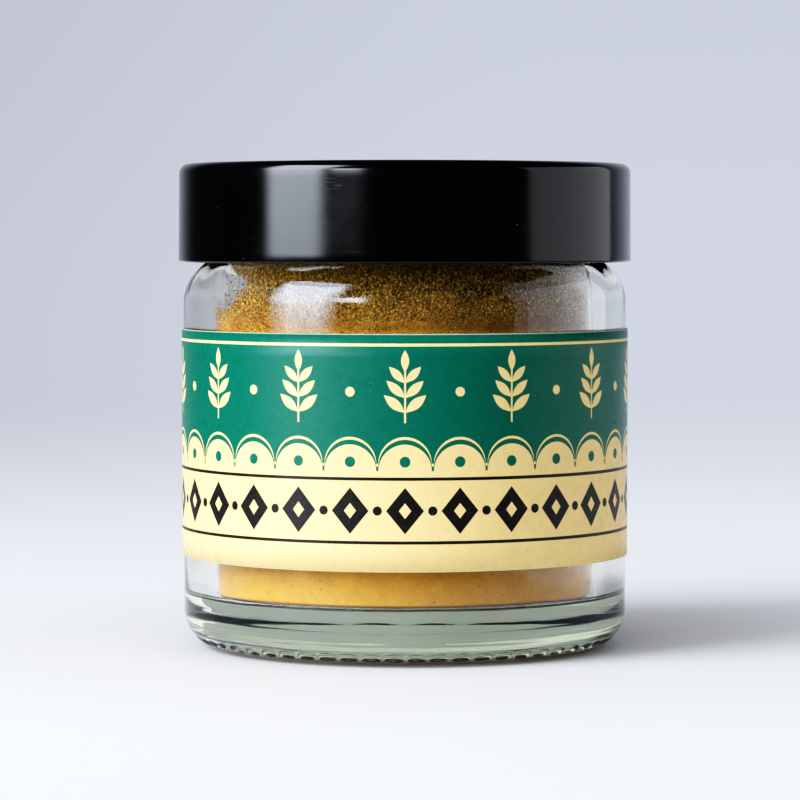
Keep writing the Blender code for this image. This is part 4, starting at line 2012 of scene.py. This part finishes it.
@dataclass(frozen=True)
class Softbox:
    """A rectangular lamp that faces the jar's middle.

    Azimuth is seen from the jar: 0 is towards the camera, and positive is to the camera's right.
    """

    name: str
    azimuth_deg: float
    elevation_deg: float
    distance: float
    width: float
    height: float
    watts: float
    colour: Colour = (1.0, 1.0, 1.0)
    side_fade: float = 0.0
    foot_fade: float = 0.0
    mirrored: bool = True

    def shade_cloth(self, light: bpy.types.Light) -> None:
        """Dims the lamp towards its left and right edges and its foot, as a lit cloth is dimmer there.

        Args:
            light: the lamp's data.
        """
        light.use_nodes = True
        tree = Tree(light.node_tree)
        across, up, _ = tree.split(tree.add("ShaderNodeNewGeometry").outputs["Parametric"])
        off = tree.math("ABSOLUTE", tree.math("MULTIPLY_ADD", across, 2.0, -1.0))
        sides = tree.ramp(off, 1.0, 1.0 - self.side_fade)
        foot = tree.ramp(up, -self.foot_fade / 2, self.foot_fade)
        tree.feed(light.node_tree.nodes["Emission"].inputs["Strength"], tree.times(sides, foot))

    def build(self, target: Vector) -> bpy.types.Object:
        """The lamp, which is left out of sight for the camera itself.

        Args:
            target: the place that it faces.

        Returns:
            The lamp.
        """
        light = bpy.data.lights.new(self.name, "AREA")
        if self.side_fade > 0 and self.foot_fade > 0:
            self.shade_cloth(light)
        light.shape = "RECTANGLE"
        light.size = self.width
        light.size_y = self.height
        light.energy = self.watts
        light.color = self.colour
        lamp = placed(self.name, light)
        azimuth, elevation = math.radians(self.azimuth_deg), math.radians(self.elevation_deg)
        towards = Vector((
            math.sin(azimuth) * math.cos(elevation),
            -math.cos(azimuth) * math.cos(elevation),
            math.sin(elevation),
        ))
        lamp.location = target + towards * self.distance
        lamp.rotation_mode = "QUATERNION"
        lamp.rotation_quaternion = towards.to_track_quat("Z", "Y")
        lamp.visible_camera = False
        lamp.visible_glossy = self.mirrored
        return lamp


@dataclass(frozen=True)
class Studio:
    """The pale floor, the surroundings, the lamps and the camera."""

    floor_radius: float = 0.6
    floor_drop: float = 0.1 * MM
    floor_segments: int = 128
    floor_roughness: float = 0.6
    floor_gloss: float = 0.2
    floor_colour: Colour = (0.80, 0.80, 0.80)
    floor_colour_far: Colour = (0.88, 0.88, 0.90)
    far: Point = (0.045, 0.10)
    fade: Point = (0.02, 0.27)
    unlit_y: Point = (-0.09, -0.15)
    wall_left: Colour = (0.396, 0.418, 0.487)
    wall_right: Colour = (0.477, 0.509, 0.602)
    wall_x: Point = (-0.20, 0.05)
    wall_z: Point = (-0.03, 0.09)
    wall_dims: Point = (1.0, 0.92)
    sweep: Colour = (0.800, 0.832, 0.905)
    sweep_z: Point = (-0.112, -0.044)
    fill: Colour = (0.118, 0.126, 0.142)
    room: Colour = (0.05, 0.05, 0.055)
    room_skew: float = 0.12
    room_y: Point = (0.60, 0.95)
    room_through_glass: Colour = (0.085, 0.092, 0.088)
    room_through_glass_y: Point = (-0.3, 0.2)
    contrast: float = 1.6
    middle_tone: float = 0.5
    tone_points: tuple[float, ...] = (0.01, 0.03, 0.06, 0.11, 0.18, 0.28, 0.42, 0.60, 0.80)
    camera_distance: float = 0.487
    camera_height: float = 55.8 * MM
    camera_aside: float = -0.65 * MM
    pitch_deg: float = 2.637
    focal_mm: float = 160.7
    sensor_mm: float = 36.0
    clip: Point = (0.01, 10.0)
    aim_z: float = 30 * MM
    softboxes: tuple[Softbox, ...] = (
        Softbox("key_softbox", -56.3, 24.0, 0.80, 0.58, 0.80, 14.6, (0.84, 0.90, 1.0), 0.44, 0.30),
        Softbox("front_strip", -29.0, 12.2, 0.80, 0.28, 0.15, 1.3, (0.90, 0.94, 1.0), 0.50, 0.30),
        Softbox("right_panel", 95.0, 12.0, 0.85, 1.02, 0.6, 2.0, (0.93, 0.95, 1.0)),
        Softbox("top_softbox", -20.0, 74.0, 0.90, 0.9, 0.7, 2.4, (0.93, 0.95, 1.0), mirrored=False),
    )

    def build_floor(self) -> None:
        """A round floor that fades into the surroundings far from the jar."""
        cage = bmesh.new()
        drop = Matrix.Translation((0.0, 0.0, -self.floor_drop))
        size = {"segments": self.floor_segments, "radius": self.floor_radius}
        bmesh.ops.create_circle(cage, cap_ends=True, cap_tris=False, matrix=drop, **size)
        mesh = bpy.data.meshes.new("studio_floor")
        cage.to_mesh(mesh)
        cage.free()
        tree = Surface("studio_floor")
        x, y, _ = tree.split(tree.place)
        far = tree.reach(x, y)
        is_mirrored = tree.add("ShaderNodeLightPath").outputs["Is Glossy Ray"]
        unlit = tree.times(tree.ramp(y, *self.unlit_y), is_mirrored)
        paper = tree.mix(tree.ramp(far, *self.far), self.floor_colour, self.floor_colour_far)
        tree.dress(
            Base_Color=tree.mix(unlit, paper, self.room),
            Roughness=self.floor_roughness,
            Specular_IOR_Level=self.floor_gloss,
        )
        tree.open_up(tree.ramp(far, *self.fade))
        mesh.materials.append(tree.material)
        placed("studio_floor", mesh)

    def build_surroundings(self) -> None:
        """The world: a pale backdrop to sight, a dim room to reflections, and a soft fill to surfaces."""
        world = bpy.data.worlds.new("studio")
        bpy.context.scene.world = world
        world.use_nodes = True
        tree = Tree(world.node_tree)
        background = world.node_tree.nodes["Background"]
        x, y, z = tree.split(tree.add("ShaderNodeTexCoord").outputs["Generated"])
        wall = tree.mix(tree.ramp(x, *self.wall_x), self.wall_left, self.wall_right)
        wall = tree.scaled(wall, tree.ramp(z, *self.wall_z, self.wall_dims))
        seen = tree.mix(tree.ramp(z, *self.sweep_z), self.sweep, wall)
        skewed = tree.math("MULTIPLY_ADD", x, self.room_skew, y)
        mirrored = tree.mix(tree.ramp(skewed, *self.room_y), self.room, seen)
        through = tree.mix(tree.ramp(y, *self.room_through_glass_y), self.room_through_glass, seen)
        path = tree.add("ShaderNodeLightPath").outputs
        was_mirrored = tree.math("GREATER_THAN", path["Glossy Depth"], 0.5)
        sight = tree.mix(was_mirrored, seen, through)
        colour = tree.mix(path["Is Glossy Ray"], self.fill, mirrored)
        colour = tree.mix(path["Is Transmission Ray"], colour, sight)
        tree.feed(background.inputs["Color"], tree.mix(path["Is Camera Ray"], colour, seen))

    def build_camera(self) -> None:
        """The camera at the photograph's place: level with the lid's foot and tipped down a little."""
        data = bpy.data.cameras.new("camera")
        data.lens = self.focal_mm
        data.sensor_width = self.sensor_mm
        data.clip_start, data.clip_end = self.clip
        camera = placed("camera", data)
        camera.location = (self.camera_aside, -self.camera_distance, self.camera_height)
        camera.rotation_euler = (math.radians(90 - self.pitch_deg), 0.0, 0.0)
        bpy.context.scene.camera = camera

    def build_tone(self) -> None:
        """A camera's tone curve: deeper darks and softer lights, through points of a smooth S."""
        settings = bpy.context.scene.view_settings
        settings.view_transform = "Standard"
        settings.use_curve_mapping = True
        curve = settings.curve_mapping.curves[3]
        toe = self.middle_tone**self.contrast
        for light in self.tone_points:
            raised = light**self.contrast
            curve.points.new(light, raised / (raised + toe) * (1 + toe))
        settings.curve_mapping.update()

    def build(self) -> None:
        """Everything round the jar."""
        self.build_camera()
        self.build_floor()
        self.build_surroundings()
        for softbox in self.softboxes:
            softbox.build(Vector((0.0, 0.0, self.aim_z)))
        self.build_tone()


def main() -> None:
    """Builds the studio and the five pieces."""
    logging.basicConfig(level=logging.INFO, format="%(name)s: %(message)s")
    Studio().build()
    effects = SharedEffects.build()
    turning = turning_tree()
    jar_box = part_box("glass_jar")
    jar = GlassJar(jar_box[1].x, jar_box[1].z, turning, GlassFinish().build(effects))
    jar.build()

    powder = SpiceFinish()
    finishes = (powder.build(effects), powder.build_film(effects))
    spice = GroundSpice(jar, turning, crumbs_tree(), grains_tree(), *finishes)
    spice.build()
    spice.build_film()
    near_edge = {"Density": 28e6, "Thinning_From": 44.8 * MM, "Thinning_To": 50.0 * MM}
    sizes = {"Smallest": 0.05 * MM, "Largest": 0.13 * MM}
    spice.build_grains("clinging_grains", Least_Share=0.0, Seed=5, **near_edge, **sizes)
    far_up = {"Density": 2.2e6, "Thinning_To": 58.0 * MM, "Least_Share": 0.15}
    spice.build_grains("scattered_grains", Seed=23, **far_up)

    label_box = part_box("paper_label")
    label = PaperLabel(label_box[1].x, label_box[0].z, label_box[1].z)
    print_on_it = PrintedPaperFinish(label.length / MM, (label.top_z - label.bottom_z) / MM)
    label.build(print_on_it.build(effects), PlainPaperFinish().build(effects))

    lid_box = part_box("screw_lid")
    plastic = PlasticFinish().build(effects)
    ScrewLid(lid_box[1].x, lid_box[0].z, lid_box[1].z, turning, plastic).build()

    liner_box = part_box("sealing_liner")
    foam = FoamFinish().build(effects)
    SealingLiner(liner_box[1].x, liner_box[0].z, liner_box[1].z, turning, foam).build()


if __name__ == "__main__":
    main()
